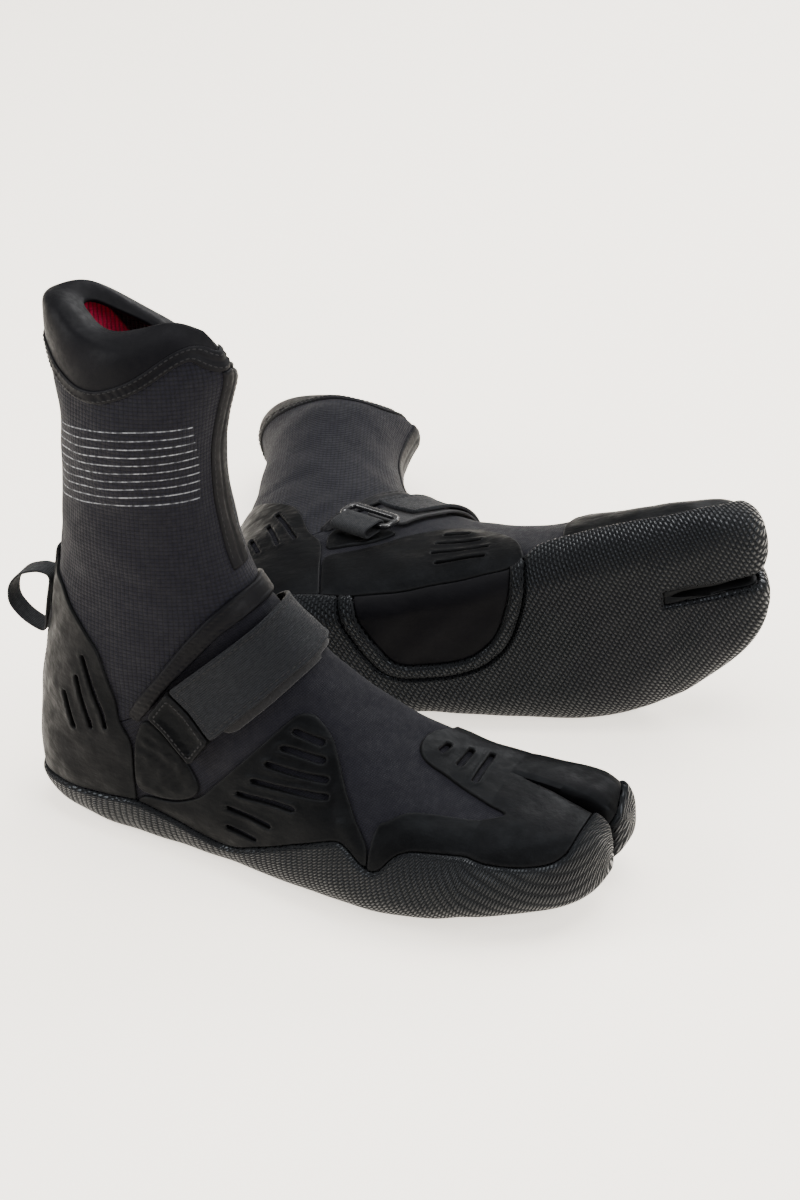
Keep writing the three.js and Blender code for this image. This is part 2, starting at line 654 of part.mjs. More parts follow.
// The left boot is the mirror image, laid so that its outer side faces the floor and its sole faces forward.
function leftPlacement() {
  const up = LEFT_UP.clone().normalize();
  const along = new THREE.Vector3(1, 0, 0).addScaledVector(up, -up.x).normalize();
  const shaft = along.clone().cross(up);
  const lay = new THREE.Matrix4().set(
    along.x, along.y, along.z, 0,
    shaft.x, shaft.y, shaft.z, 0,
    up.x, up.y, up.z, 0,
    0, 0, 0, 1,
  );
  const yaw = new THREE.Matrix4().makeRotationZ(THREE.MathUtils.degToRad(LEFT_YAW));
  return new THREE.Matrix4().setPosition(LEFT_SHIFT).multiply(yaw).multiply(lay);
}

function build() {
  const pair = new THREE.Group();
  pair.name = 'neoprene_boots';
  const geometries = PARTS.map(([, make]) => toGeometry(make()));
  for (const [side, matrix] of [['right', new THREE.Matrix4()], ['left', leftPlacement()]]) {
    const boot = new THREE.Group();
    PARTS.forEach(([name, , look], i) => {
      const [color, roughness] = COLORS[look];
      const material = new THREE.MeshStandardMaterial({ color, roughness, metalness: 0 });
      const mesh = new THREE.Mesh(placed(geometries[i], matrix), material);
      mesh.name = `${side}_${name}`;
      boot.add(mesh);
    });
    const lowest = new THREE.Box3().setFromObject(boot).min.z;
    for (const mesh of [...boot.children]) {
      mesh.geometry.translate(0, 0, -lowest);
      pair.add(mesh);
    }
  }
  const middle = new THREE.Box3().setFromObject(pair).getCenter(new THREE.Vector3());
  pair.children.forEach((mesh) => mesh.geometry.translate(-middle.x, -middle.y, 0));
  return pair;
}

export default build();
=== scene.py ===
"""Looks for a pair of split-toe neoprene boots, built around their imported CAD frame.

Each boot is made in its own frame, in millimetres: toe along +X, inner side of the foot along +Y,
up along +Z. One smooth surface is the outer face of the neoprene, and every sheet is a slice of a
layer laid on it.
"""
import math

import bpy
import numpy as np
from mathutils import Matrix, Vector


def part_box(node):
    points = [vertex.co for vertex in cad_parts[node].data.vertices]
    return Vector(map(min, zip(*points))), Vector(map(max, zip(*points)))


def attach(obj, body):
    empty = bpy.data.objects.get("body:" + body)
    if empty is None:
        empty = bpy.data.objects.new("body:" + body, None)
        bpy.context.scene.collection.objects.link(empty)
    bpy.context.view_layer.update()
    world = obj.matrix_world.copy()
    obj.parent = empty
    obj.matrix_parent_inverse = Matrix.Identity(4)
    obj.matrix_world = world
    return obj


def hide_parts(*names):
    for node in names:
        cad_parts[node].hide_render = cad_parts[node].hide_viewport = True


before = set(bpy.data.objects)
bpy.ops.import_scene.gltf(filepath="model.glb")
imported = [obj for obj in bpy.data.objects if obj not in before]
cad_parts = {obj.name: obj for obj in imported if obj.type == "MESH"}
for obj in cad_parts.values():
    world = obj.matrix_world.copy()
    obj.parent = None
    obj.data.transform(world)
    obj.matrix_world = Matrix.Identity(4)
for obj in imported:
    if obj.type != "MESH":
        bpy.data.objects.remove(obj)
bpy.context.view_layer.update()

# Layers: distances from the outer face of the neoprene, outwards positive.
NEOPRENE = (-3.2, 0.0)
LINING = (-4.9, -3.8)
OVERLAY = (0.15, 1.6)
OUTSOLE = (0.15, 3.4)
TAPE = (0.1, 1.1)
RIDGE = (0.1, 2.5)
UNDER_STRAP = (1.9, 3.1)
HOOKS = (3.4, 4.2)
STRAP = (4.4, 5.8)
TAB = (1.7, 6.6)
HEEL_STRIP = (1.7, 3.0)
ARCH_RIM_LAYER = (0.15, 3.9)
OUTER_PATCH_LAYER = (0.15, 1.9)
INNER_PATCH_LAYER = (0.15, 1.7)

# What each sheet keeps back from a seam it shares, from a hidden seam and from the sole's edge.
SEAM_GAP = 0.15
HIDDEN_GAP = 0.3
SOLE_GAP = 0.25
LINING_BELOW_RIM = 2.5

# Tapes: half widths, and where they end.
FRONT_TAPE_HALF = 7
FRONT_TAPE_FOOT = 146
FRONT_TAPE_BACK = 25
COLLAR_TAPE_HALF = 3
HEEL_STRIP_HALF = 6
HEEL_STRIP_ENDS = (22, 136)

RING_CENTRE = np.array([44, 41.6, 73])
STRAP_DIRECTION = np.array([0.633, 0, 0.775])
ACROSS_STRAP = np.array([0.775, 0, -0.633])
RING_BAR = 3
RING_HALF = np.array([7, 17.5])
KEEPER_HALF = np.array([7.3, 2.6])
KEEPER_SHIFT = 9.8
KEEPER_WIDTH = 24
WEBBING = 1.2
SQUARE = [(1, 1), (-1, 1), (-1, -1), (1, -1)]
LOOP_WIDTH = 11
LOOP_REACH = 23
LOOP_CENTRE = np.array([-42.1, 0, 102])
LOOP_LEAN = 9

# How the left boot lies, as in the CAD model.
LEFT_UP = np.array([0.118, 0.993, -0.013])
LEFT_YAW = 22

# Cross-sections from the collar down the leg, round the heel and along the foot.
# Upper end x z, lower end x z, outer and inner half width, y of the upper and lower ends,
# height of the widest line as a share of the section, flat share of the floor.
SECTIONS = np.array([
    [53, 256, -15, 258.5, 10, 13, 0, 1, 0.5, 0],
    [57.5, 249, -31, 267.5, 22, 18, 0, 0, 0.5, 0],
    [59, 241, -34.5, 260, 30, 27.5, 0, 0, 0.5, 0],
    [53, 220, -26.5, 220, 36, 36, 0, 0, 0.5, 0],
    [51, 194, -27.5, 194, 35, 35, 0, 0, 0.5, 0],
    [54, 170, -29, 166, 34, 34, 0, 0, 0.5, 0],
    [60, 150, -33, 134, 34, 34, 1, 0, 0.5, 0],
    [68, 134, -39, 96, 34.5, 34.5, 2, 0, 0.5, 0],
    [79, 121, -46, 56, 36, 36, 4, 0, 0.46, 0],
    [90, 110, -43, 14, 37, 36, 6, 0, 0.42, 0.2],
    [98, 101, -20, 3, 38, 36, 8, 0, 0.4, 0.45],
    [108, 92, 12, 2, 39, 36, 9, 0, 0.38, 0.55],
    [122, 82, 52, 2, 42, 37, 11, 0, 0.36, 0.58],
    [139, 72, 90, 2, 47, 40, 13, 2, 0.35, 0.6],
    [156, 63.5, 124, 2, 52, 45, 15, 6, 0.34, 0.6],
    [171, 57.5, 152, 2.5, 53, 49, 16, 11, 0.34, 0.6],
    [184, 54, 176, 4.5, 50.5, 51.5, 17, 15, 0.34, 0.55],
    [191, 52.8, 191, 6.3, 47, 52, 17, 17, 0.36, 0.45],
])

# The two toe pockets: x, inner y, outer y, bottom z, top z.
CLEFT_Y = 17
BIG_TOE = np.array([
    [191, CLEFT_Y, 52, 6.3, 52.8],
    [199, 19.1, 52.3, 7.8, 52.4],
    [209, 19.4, 52.5, 9.2, 51.6],
    [220, 19.4, 52, 11, 50.4],
    [229.5, 19.5, 50, 13.5, 49],
    [236.5, 20, 47, 16.5, 46],
    [240.5, 22, 43.5, 20, 42],
    [242.8, 26, 39.5, 24, 37.5],
])
SMALL_TOES = np.array([
    [191, CLEFT_Y, -47, 6.3, 52.8],
    [199, 14.9, -44, 7.6, 52.2],
    [208, 14.6, -39, 8.8, 51],
    [218, 14.6, -32.5, 10.2, 49.5],
    [227.5, 14.5, -24.5, 12, 47.5],
    [235, 14.2, -16, 14.5, 45],
    [239.8, 12.8, -8, 17.5, 41.5],
    [242.3, 10, -1, 21, 36],
])
TIP_BULGE = 0.8
TIP_RINGS = (0.8, 0.55, 0.3, 0.04)
# Depth below the rim given to the toes, where it is never needed.
TOE_DEPTH = 300.0
POCKET_ROUNDING_ROWS = 6
OUTER_ROUNDING = 0.7
CLEFT_SIDE_ROUNDING = 0.35

# Round the cleft the sole stops and the thin toe rubber carries on: x where this starts, half width.
CLEFT_ZONE = (192, 4)
# The sole's edge runs slantwise over the big toe, reaching further forward beside the cleft.
BIG_TOE_SLANT = 0.35
SLANT_END_Y = 45

# Seams and edges seen from the side, as x z.
COLLAR_SEAM_OUTER = [
    [-60, 254], [-34, 252], [-26, 246.5], [-14, 239], [-4, 236.5], [6, 236.5], [16, 240], [28, 246.5],
    [40, 256.5], [47, 259], [54, 254], [60, 250], [80, 248],
]
COLLAR_SEAM_INNER = [
    [-60, 254], [-34, 252], [-26, 246.5], [-14, 239], [-4, 236.5], [11, 234], [30, 231], [44, 234],
    [54, 248], [60, 250], [80, 248],
]
ANKLE_SEAM = [
    [-80, 62], [0, 62], [18, 70], [26, 81], [36, 95], [47, 113.5], [56, 125], [65, 131], [77, 135.5],
    [280, 200],
]
BOARD_EDGE = [[-80, 9], [140, 8], [176, 10], [197, 13], [221, 17], [235, 22], [280, 32]]
SOLE_EDGE_OUTER = [
    [-80, 20], [-38, 18], [-2, 22], [17, 26], [54, 18], [70, 14], [94, 24], [127, 39], [135, 40],
    [152, 29], [162, 43], [190, 42], [201, 40], [217, 38], [227, 38], [232, 41], [235, 47], [236, 60],
    [280, 60],
]
SOLE_EDGE_INNER = [
    [-80, 20], [-17, 16], [38, 8], [118, 8], [133, 19], [163, 20], [200, 23], [220, 28], [231, 36],
    [237, 48], [280, 60],
]

# Outlines seen from the side, as x z.
HEEL_OUTLINE = [
    [-80, 0], [-80, 131], [-30, 131], [-22, 129], [-13, 118], [-5, 110], [2, 103], [8, 84], [12, 68],
    [18, 59], [19.4, 52], [20, 0],
]
OUTER_OVERLAY = [
    [20.4, 0], [20.4, 29], [42, 31], [56, 38], [66, 50], [83, 69], [96, 83], [100, 86], [107, 85],
    [119, 75], [127, 64], [135, 54], [143, 46], [148, 40], [148, 0],
]
INNER_OVERLAY = [
    [20.4, 0], [20.4, 42], [40, 46], [62, 56], [84, 63], [100, 58], [112, 46], [122, 30], [127.5, 0],
]
OUTER_PATCH = [
    [20.5, 33], [20.5, 60], [24, 71], [29, 72], [39, 64], [50, 53], [55, 45], [55, 40], [50, 35.5],
    [42, 32.5], [30, 31],
]
INNER_PATCH = [[21, 49], [22, 66], [30, 76], [44, 74], [56, 64], [58, 61.5], [41, 52.5]]
RIDGE_OUTLINE = [
    [16, 72], [22.7, 83.3], [32.8, 97.3], [44, 114.6], [53.5, 126.8], [62, 135.5], [72, 141],
    [80, 134], [69, 126.5], [59, 118.7], [50.5, 107.7], [38.6, 93.1], [29, 78.9], [22.2, 69],
]
STRAP_TAB = [[29, 77], [38.5, 91.5], [61.5, 70], [52, 56]]
STRAP_SIDE = [[39, 92], [62, 70.5], [112, 120], [90, 138]]
STRAP_INNER_END = [[45, 97], [67, 79], [112, 120], [90, 138]]
HOOK_OUTLINE = [[46.5, 97], [65.5, 81.5], [82, 97], [63, 112.5]]
UNDER_OUTER_SIDE = [[52, 100], [50, 96], [52, 91], [63, 78], [68, 74.5], [73, 76], [118, 121], [98, 137]]
UNDER_INNER_SIDE = [[40, 86], [60, 69], [118, 121], [98, 137]]
HEEL_SLOTS = [(-7, 97, 5, 63), (-11, 85, -4, 60), (-19, 73, -14, 57)]
OUTER_SLOTS = [
    (100, 79, 113, 75), (96, 72, 116, 69), (90, 64, 120, 62), (84, 55, 122, 56), (77, 47, 107, 48),
    (72, 38, 95, 36), (72, 28, 87, 26),
]
INNER_SLOTS = [(84, 52, 96, 49), (80, 42, 102, 39), (78, 32, 106, 29), (80, 22, 104, 20)]

# Outlines seen from above, as x y.
TOE_OUTLINE = [
    [148.5, -80], [148.5, -42], [153, -40], [160, -33], [173, -27], [191, -20], [203, -12], [185, -8],
    [169, -5], [156, -4], [150.5, 1], [149, 11], [151, 18], [157, 30], [152, 42], [128, 60], [128, 80],
    [280, 80], [280, -80],
]
TOE_SLOTS = [(160, 13.5, 159, 7), (169.5, 18.5, 169, 5), (178.5, 23, 179, 0.5)]
ARCH_WINDOW = [
    [37, 60], [37, 23], [44, 10], [52, -4], [60, -8], [82, -8], [95, -5], [107, 5], [114, 22],
    [118, 38], [118, 60],
]
ARCH_RIM = [
    [29, 60], [29, 22], [37, 6], [46, -9], [57, -15], [84, -15], [99, -11], [113, 0], [121, 20],
    [125.5, 38], [125.5, 60],
]
ARCH_TOP = 30
SLOT_WIDTH = 2.4


# ---- the boot's surface ----

def between(table, at):
    """The smooth curve through the rows of a table, at a fractional row."""
    i = min(int(at), len(table) - 2)
    u = at - i
    start, end = table[i], table[i + 1]
    before = table[i - 1] if i > 0 else 2 * start - end
    after = table[i + 2] if i < len(table) - 2 else 2 * end - start
    slope_in, slope_out = (end - before) / 2, (after - start) / 2
    return ((2 * u ** 3 - 3 * u ** 2 + 1) * start + (u ** 3 - 2 * u ** 2 + u) * slope_in
            + (3 * u ** 2 - 2 * u ** 3) * end + (u ** 3 - u ** 2) * slope_out)


def lengths(points):
    """Distance along a polyline at each of its points."""
    return np.concatenate([[0], np.cumsum(np.linalg.norm(np.diff(points, axis=0), axis=1))])


def evenly(points, count):
    """count points evenly spaced along a polyline."""
    along = lengths(points)
    at = np.linspace(0, along[-1], count)
    return np.stack([np.interp(at, along, points[:, k]) for k in range(points.shape[1])], 1)


def smoothstep(value, low, high):
    """A smooth rise from 0 to 1 as value goes from low to high."""
    t = np.clip((value - low) / (high - low), 0, 1)
    return t * t * (3 - 2 * t)


def bell(value, middle, width):
    """1 at the middle, fading to nothing about two widths away."""
    return np.exp(-((value - middle) / width) ** 2)


def half_section(width, up, down, flat, top_y, bottom_y, steps):
    """One side of a section as across and up coordinates, from the top over the side to the floor."""
    power = 2 / (2 + 1.2 * flat)
    a = np.linspace(0, np.pi / 2, 40)
    upper = np.stack([top_y + (width - top_y) * np.sin(a) ** power, up * np.abs(np.cos(a)) ** power], 1)
    edge = bottom_y + (width - bottom_y) * flat
    lower = np.stack([edge + (width - edge) * np.cos(a), -down * np.sin(a)], 1)
    return evenly(np.concatenate([upper, lower[1:], [[bottom_y, -down]]]), steps + 1)


def rim_rise(x, y):
    """How much the collar's rim rises: a peak at the back, a crest at the front outside and a dip inside."""
    front = np.where(y < 0, 13, 16) * np.clip(-y / 5, -1, 1)
    return 8 * bell(x, -20, 14) + front * bell(x, 37, 22)


def section_ring(at, steps):
    """A closed ring of points: top, inner side, floor, outer side."""
    top_x, top_z, low_x, low_z, outer, inner, top_y, low_y, share, flat = between(SECTIONS, at)
    length = math.hypot(top_x - low_x, top_z - low_z)
    up = np.array([top_x - low_x, top_z - low_z]) / length
    centre = np.array([low_x, low_z]) + up * length * share
    sides = [half_section(width, length * (1 - share), length * share, flat, top_y, low_y, steps)
             for width in (inner, -outer)]
    loop = np.concatenate([sides[0][:-1], sides[1][::-1][:-1]])
    x = centre[0] + up[0] * loop[:, 1]
    lift = max(0, 1 - 0.35 * at)
    return np.stack([x, loop[:, 0], centre[1] + up[1] * loop[:, 1] + lift * rim_rise(x, loop[:, 0])], 1)


def pocket_ring(table, at, start, steps):
    """A ring of one toe pocket, matched point for point to half of the last section and the cleft's wall."""
    _, inner0, outer0, low0, top0 = table[0]
    x, inner, outer, low, top = between(table, at)
    wall = len(start) - steps
    turn = np.concatenate([0.75 - 1.5 * np.arange(steps + 1) / steps,
                           -0.75 - 0.5 * np.arange(1, wall) / wall]) * np.pi
    c, s = np.cos(turn), np.sin(turn)
    power = np.where(c < 0, CLEFT_SIDE_ROUNDING, OUTER_ROUNDING)
    round_u = 0.5 + 0.5 * np.sign(c) * np.abs(c) ** power
    round_v = 0.45 + np.where(s > 0, 0.55, 0.45) * np.sign(s) * np.abs(s) ** power
    mix = smoothstep(at, 0, POCKET_ROUNDING_ROWS)
    u = (start[:, 1] - inner0) / (outer0 - inner0) * (1 - mix) + round_u * mix
    v = (start[:, 2] - low0) / (top0 - low0) * (1 - mix) + round_v * mix
    return np.stack([np.full(len(start), x), inner + (outer - inner) * u, low + (top - low) * v], 1)


def ring_measures(ring, bottom):
    """Distance round a ring from its top, and signed distance from its bottom."""
    along = lengths(np.concatenate([ring, ring[:1]]))
    position = along[:-1]
    late = np.arange(len(ring)) > bottom
    return np.where(late, along[-1] - position, position), along[bottom] - position


def normals_of(points, triangles):
    """The unit normal at each point, from the triangles round it."""
    a, b, c = (points[triangles[:, k]] for k in range(3))
    face = np.cross(b - a, c - a)
    normals = np.zeros_like(points)
    for k in range(3):
        np.add.at(normals, triangles[:, k], face)
    return normals / np.maximum(np.linalg.norm(normals, axis=1, keepdims=True), 1e-9)


def gathered(x, z, x0, z0, angle, width, length):
    """A soft crease across the line at an angle through a point, fading along it."""
    c, s = math.cos(math.radians(angle)), math.sin(math.radians(angle))
    across = -(x - x0) * s + (z - z0) * c
    along = (x - x0) * c + (z - z0) * s
    return np.exp(-(across / width) ** 2 - (along / length) ** 2)


# Creases and swellings: height, side, middle x z, angle along it, width and length.
FOLDS = [
    (-1.3, "outer", 22, 92, 52, 4.5, 40),
    (0.9, "outer", 10, 108, 50, 9, 40),
    (-1.1, "inner", 20, 96, 48, 5, 36),
    (-0.7, "both", -14, 138, 8, 4, 26),
    (-0.6, "outer", 30, 140, -24, 4.5, 26),
    (0.5, "outer", 0, 158, -6, 7, 34),
    (-0.5, "outer", 26, 176, -12, 5, 24),
    (-0.7, "outer", 122, 60, -62, 3.5, 22),
]


def relief(points):
    """Soft folds and swellings of the neoprene, in millimetres outwards."""
    x, y, z = points.T
    sides = {"outer": smoothstep(-y, 4, 22), "inner": smoothstep(y, 4, 22)}
    sides["both"] = sides["outer"] + sides["inner"]
    folds = sum(height * gathered(x, z, *crease) * sides[side] for height, side, *crease in FOLDS)
    folds += 0.35 * np.sin(x * 0.11 + z * 0.05) * np.sin(z * 0.083 - x * 0.03 + 1)
    folds += 0.3 * np.sin(x * 0.21 - y * 0.16) * np.sin(z * 0.19 + y * 0.11)
    return folds


class Surface:
    """The outer face of the neoprene at one fineness: points, triangles, normals and sheet coordinates."""

    def __init__(self, per_row, steps, wall):
        last_row = len(SECTIONS) - 1
        grid = np.array([section_ring(at, steps) for at in np.linspace(0, last_row, last_row * per_row + 1)])
        self.points, self.measures, self.faces = [], [], []
        top_run, low_run = lengths(grid[:, 0]), lengths(grid[:, steps])
        depth = np.cumsum(np.linalg.norm(np.diff(grid, axis=0, prepend=grid[:1]), axis=2), axis=0)
        rows = []
        for i, ring in enumerate(grid):
            from_top, from_low = ring_measures(ring, steps)
            rows.append(self.add(ring, from_top, top_run[i], low_run[i], from_low, depth[i]))
        for a, b in zip(rows, rows[1:]):
            self.join(a, b, False)
        last, end = rows[-1], grid[-1]
        rise = np.linspace(end[steps], end[0], wall + 1)[1:-1]
        level = np.zeros(wall - 1)
        wall_rows = self.add(rise, level, top_run[-1], low_run[-1], level, TOE_DEPTH)
        inner_half = last[:steps + 1]
        outer_half = np.concatenate([last[:1], last[steps:][::-1]])
        shifts = top_run[-1] - end[0, 0], low_run[-1] - end[steps, 0]
        for table, half, flip in ((BIG_TOE, inner_half, False), (SMALL_TOES, outer_half, True)):
            self.pocket(table, np.concatenate([half, wall_rows]), flip, per_row, steps, shifts)
        self.points = np.concatenate(self.points)
        self.measures = np.concatenate(self.measures)
        self.depth = self.measures[:, 4]
        self.triangles = np.array([t for a, b, c, d in self.faces for t in ((a, b, c), (a, c, d))])
        self.normals = normals_of(self.points, self.triangles)
        self.points = self.points + self.normals * relief(self.points)[:, None]
        self.normals = normals_of(self.points, self.triangles)

    def add(self, ring, from_top, top_run, low_run, from_low, depth):
        """Adds a ring with its measures, and gives its point numbers."""
        start = sum(len(p) for p in self.points)
        full = np.ones(len(ring))
        self.points.append(ring)
        self.measures.append(np.stack([from_top, top_run * full, low_run * full, from_low, depth * full], 1))
        return np.arange(start, start + len(ring))

    def join(self, a, b, flip):
        for j in range(len(a)):
            k = (j + 1) % len(a)
            face = (a[j], b[j], b[k], a[k])
            self.faces.append(face[::-1] if flip else face)

    def pocket(self, table, ring, flip, per_row, steps, shifts):
        """One toe pocket: rings forwards to its tip, then smaller ones that close it."""
        start = np.concatenate(self.points)[ring]
        last_row = len(table) - 1
        rows = np.linspace(0, last_row, last_row * per_row + 1)[1:]
        shapes = [pocket_ring(table, at, start, steps) for at in rows]
        tip = shapes[-1]
        middle = tip.mean(axis=0)
        shapes += [middle + (tip - middle) * share + [TIP_BULGE * (1 - share ** 2), 0, 0]
                   for share in TIP_RINGS]
        sign = -1 if flip else 1
        for points in shapes:
            from_top, from_low = ring_measures(points, steps)
            top_run, low_run = (points[0, 0] + shift for shift in shifts)
            fresh = self.add(points, from_top, top_run, low_run, from_low * sign, TOE_DEPTH)
            self.join(ring, fresh, flip)
            ring = fresh


# ---- slices of the surface ----

def rounded(outline, radius):
    """The outline with its corners rounded off."""
    corners = np.array(outline, float)
    smooth = []
    for i, corner in enumerate(corners):
        before, after = corners[i - 1], corners[(i + 1) % len(corners)]
        reach = [min(radius, 0.42 * np.linalg.norm(end - corner)) for end in (before, after)]
        start = corner + (before - corner) * reach[0] / np.linalg.norm(before - corner)
        end = corner + (after - corner) * reach[1] / np.linalg.norm(after - corner)
        for t in (0, 0.25, 0.5, 0.75, 1):
            smooth.append((1 - t) ** 2 * start + 2 * t * (1 - t) * corner + t ** 2 * end)
    return np.array(smooth)


def from_segment(x0, y0, x1, y1, a, b):
    """The steps on both axes from the nearest point of a segment."""
    dx, dy = x1 - x0, y1 - y0
    t = np.clip(((a - x0) * dx + (b - y0) * dy) / max(dx * dx + dy * dy, 1e-12), 0, 1)
    return a - x0 - t * dx, b - y0 - t * dy


def inside(outline, a, b):
    """How far each point is inside a closed outline, negative outside it."""
    starts = np.array(outline, float)
    nearest = np.full(len(a), np.inf)
    odd = np.zeros(len(a), bool)
    for (x0, y0), (x1, y1) in zip(starts, np.roll(starts, -1, axis=0)):
        step_a, step_b = from_segment(x0, y0, x1, y1, a, b)
        nearest = np.minimum(nearest, step_a ** 2 + step_b ** 2)
        if y0 != y1:
            odd ^= ((y0 > b) != (y1 > b)) & (a < x0 + (x1 - x0) * (b - y0) / (y1 - y0))
    return np.where(odd, 1, -1) * np.sqrt(nearest)


def above(edge, a, b, radius=3):
    """How far each point is above an edge, negative below it."""
    line = list(edge) + [[edge[-1][0], 400], [edge[0][0], 400]]
    return inside(rounded(line, radius), a, b)


def slot_distance(slots, a, b):
    """Distance outside the nearest round-ended slot, negative within one."""
    nearest = np.full(len(a), np.inf)
    for slot in slots:
        nearest = np.minimum(nearest, np.hypot(*from_segment(*slot, a, b)) - SLOT_WIDTH / 2)
    return nearest


def split(data, triangles, column, level):
    """Cuts the triangles that cross a level of one data column, so that the level runs along edges."""
    value = data[:, column] - level
    near = np.abs(value) < 0.03
    data = data.copy()
    data[near, column] = level + 0.03
    high = data[:, column] > level
    count = high[triangles].sum(1)
    whole = triangles[(count == 0) | (count == 3)]
    mixed = triangles[(count == 1) | (count == 2)]
    if len(mixed) == 0:
        return data, triangles
    flags = high[mixed]
    odd_one = flags == (flags.sum(1) == 1)[:, None]
    first = np.argmax(odd_one, axis=1)
    lone, second, third = (mixed[np.arange(len(mixed)), (first + k) % 3] for k in range(3))
    pairs = np.sort(np.concatenate([np.stack([lone, second], 1), np.stack([lone, third], 1)]), axis=1)
    unique, place = np.unique(pairs, axis=0, return_inverse=True)
    place = place.ravel() + len(data)
    low_value, high_value = data[unique[:, 0], column], data[unique[:, 1], column]
    t = ((level - low_value) / (high_value - low_value))[:, None]
    fresh = data[unique[:, 0]] * (1 - t) + data[unique[:, 1]] * t
    fresh[:, column] = level
    near_two, near_three = place[:len(mixed)], place[len(mixed):]
    pieces = [np.stack([lone, near_two, near_three], 1), np.stack([near_two, second, third], 1),
              np.stack([near_two, third, near_three], 1)]
    return np.concatenate([data, fresh]), np.concatenate([whole, *pieces])


def trimmed(data, triangles):
    """Drops the points that no triangle uses."""
    used, place = np.unique(triangles, return_inverse=True)
    return data[used], place.reshape(-1, 3)


# Columns of the point data in sheet(), after the points and normals. The depth has no use there.
FROM_TOP, TOP_RUN, LOW_RUN, FROM_LOW, _, FIELD, EXTRA = range(6, 13)
# Where a sheet's edge rounding gets its rows of points, as shares of its radius.
EDGE_ROWS = (0, 0.08, 0.3, 0.62, 1)


def sheet(surface, field, span, radius=0.8, drop=0.7, both=False, extra=0):
    """A closed slice of a layer where field is positive, its edge rounded off over radius by drop."""
    extra = np.zeros(len(field)) + extra
    data = np.column_stack([surface.points, surface.normals, surface.measures, field, extra])
    reach = surface.triangles[(field[surface.triangles] > 0).any(1)]
    data, triangles = trimmed(data, reach)
    for share in EDGE_ROWS:
        data, triangles = split(data, triangles, FIELD, share * radius)
    triangles = triangles[data[triangles, FIELD].mean(1) > 0]
    data, triangles = trimmed(data, triangles)
    depth = np.clip(data[:, FIELD], 0, radius) / radius
    fall = drop * (1 - np.sqrt(np.clip(1 - (1 - depth) ** 2, 0, 1)))
    low, high = span
    tops = high - fall + data[:, EXTRA]
    lows = low + fall * both
    points, normals = data[:, :3], data[:, 3:6]
    count = len(points)
    edges = np.concatenate([triangles[:, [0, 1]], triangles[:, [1, 2]], triangles[:, [2, 0]]])
    keys = np.sort(edges, axis=1)
    _, first, repeats = np.unique(keys, axis=0, return_index=True, return_counts=True)
    border = edges[first[repeats == 1]]
    walls = np.concatenate([np.stack([border[:, 0], border[:, 0] + count, border[:, 1] + count], 1),
                            np.stack([border[:, 0], border[:, 1] + count, border[:, 1]], 1)])
    return {
        "points": np.concatenate([points + normals * tops[:, None], points + normals * lows[:, None]]),
        "faces": np.concatenate([triangles, triangles[:, ::-1] + count, walls]),
        "knit": np.tile(np.column_stack([data[:, [FROM_TOP, TOP_RUN]], leg_turn(points)]), (2, 1)),
        "tread": np.tile(data[:, [LOW_RUN, FROM_LOW, FIELD]], (2, 1)),
    }


def leg_turn(points):
    """Distance round the leg from its front, in millimetres."""
    return 38 * np.arctan2(points[:, 1] / 35, (points[:, 0] - 11) / 42)


def contour(surface, field, level, keep=None):
    """The lines on the surface where field has a level, as lists of points and normals."""
    data = np.column_stack([field, surface.points, surface.normals])
    reach = surface.triangles[(field[surface.triangles] > level - 4).any(1)]
    data, triangles = trimmed(data, reach)
    data, triangles = split(data, triangles, 0, level)
    on = np.abs(data[:, 0] - level) < 1e-9
    high = data[triangles, 0].mean(1) > level
    links = {}
    for t in triangles[high]:
        for a, b in ((t[0], t[1]), (t[1], t[2]), (t[2], t[0])):
            if on[a] and on[b]:
                links[a] = b
    lines = []
    begun = set(links) - set(links.values())
    while links:
        start = next(iter(begun & set(links)), next(iter(links)))
        line = [start]
        while line[-1] in links:
            line.append(links.pop(line[-1]))
        lines.append(data[line, 1:])
    if keep is not None:
        lines = [part for line in lines for part in runs(line, keep(line[:, :3]))]
    return [line for line in lines if len(line) > 3]


def runs(line, wanted):
    """The stretches of a line whose points are all wanted."""
    cuts = np.flatnonzero(np.diff(wanted.astype(int))) + 1
    return [part for part, ok in zip(np.split(line, cuts), np.split(wanted, cuts)) if ok[0]]


def stitching(lines, height, length=2.2, pitch=3.1, width=0.45):
    """A row of short raised stitches along lines on the surface."""
    rim = 6
    rings = ((-1, 0.35), (-0.6, 0.95), (0, 1), (0.6, 0.95), (1, 0.35))
    turn = np.arange(rim) / rim * 2 * np.pi
    template = np.array([(along * length / 2, width * size * math.cos(a), 0.32 * size * math.sin(a))
                         for along, size in rings for a in turn])
    last = (len(rings) - 1) * rim
    sides = [(start + j, start + (j + 1) % rim) for start in range(0, last, rim) for j in range(rim)]
    caps = [(0, j + 1, j) for j in range(1, rim - 1)]
    caps += [(last, last + j, last + j + 1) for j in range(1, rim - 1)]
    shape = np.array([(a, b, b + rim) for a, b in sides] + [(a, b + rim, a + rim) for a, b in sides] + caps)
    points, faces = [], []
    for line in lines:
        count = int(lengths(line[:, :3])[-1] / pitch)
        if count < 2:
            continue
        dense = evenly(line, count * 2 + 1)
        for i in range(1, len(dense), 2):
            normal = dense[i, 3:] / np.linalg.norm(dense[i, 3:])
            along = dense[min(i + 1, len(dense) - 1), :3] - dense[i - 1, :3]
            along = along - normal * (along @ normal)
            along = along / np.linalg.norm(along)
            axes = np.stack([along, np.cross(normal, along), normal])
            faces.append(shape + len(points) * len(template))
            points.append(dense[i, :3] + normal * height + template @ axes)
    points = np.concatenate(points)
    return plain_mesh(points, np.concatenate(faces))


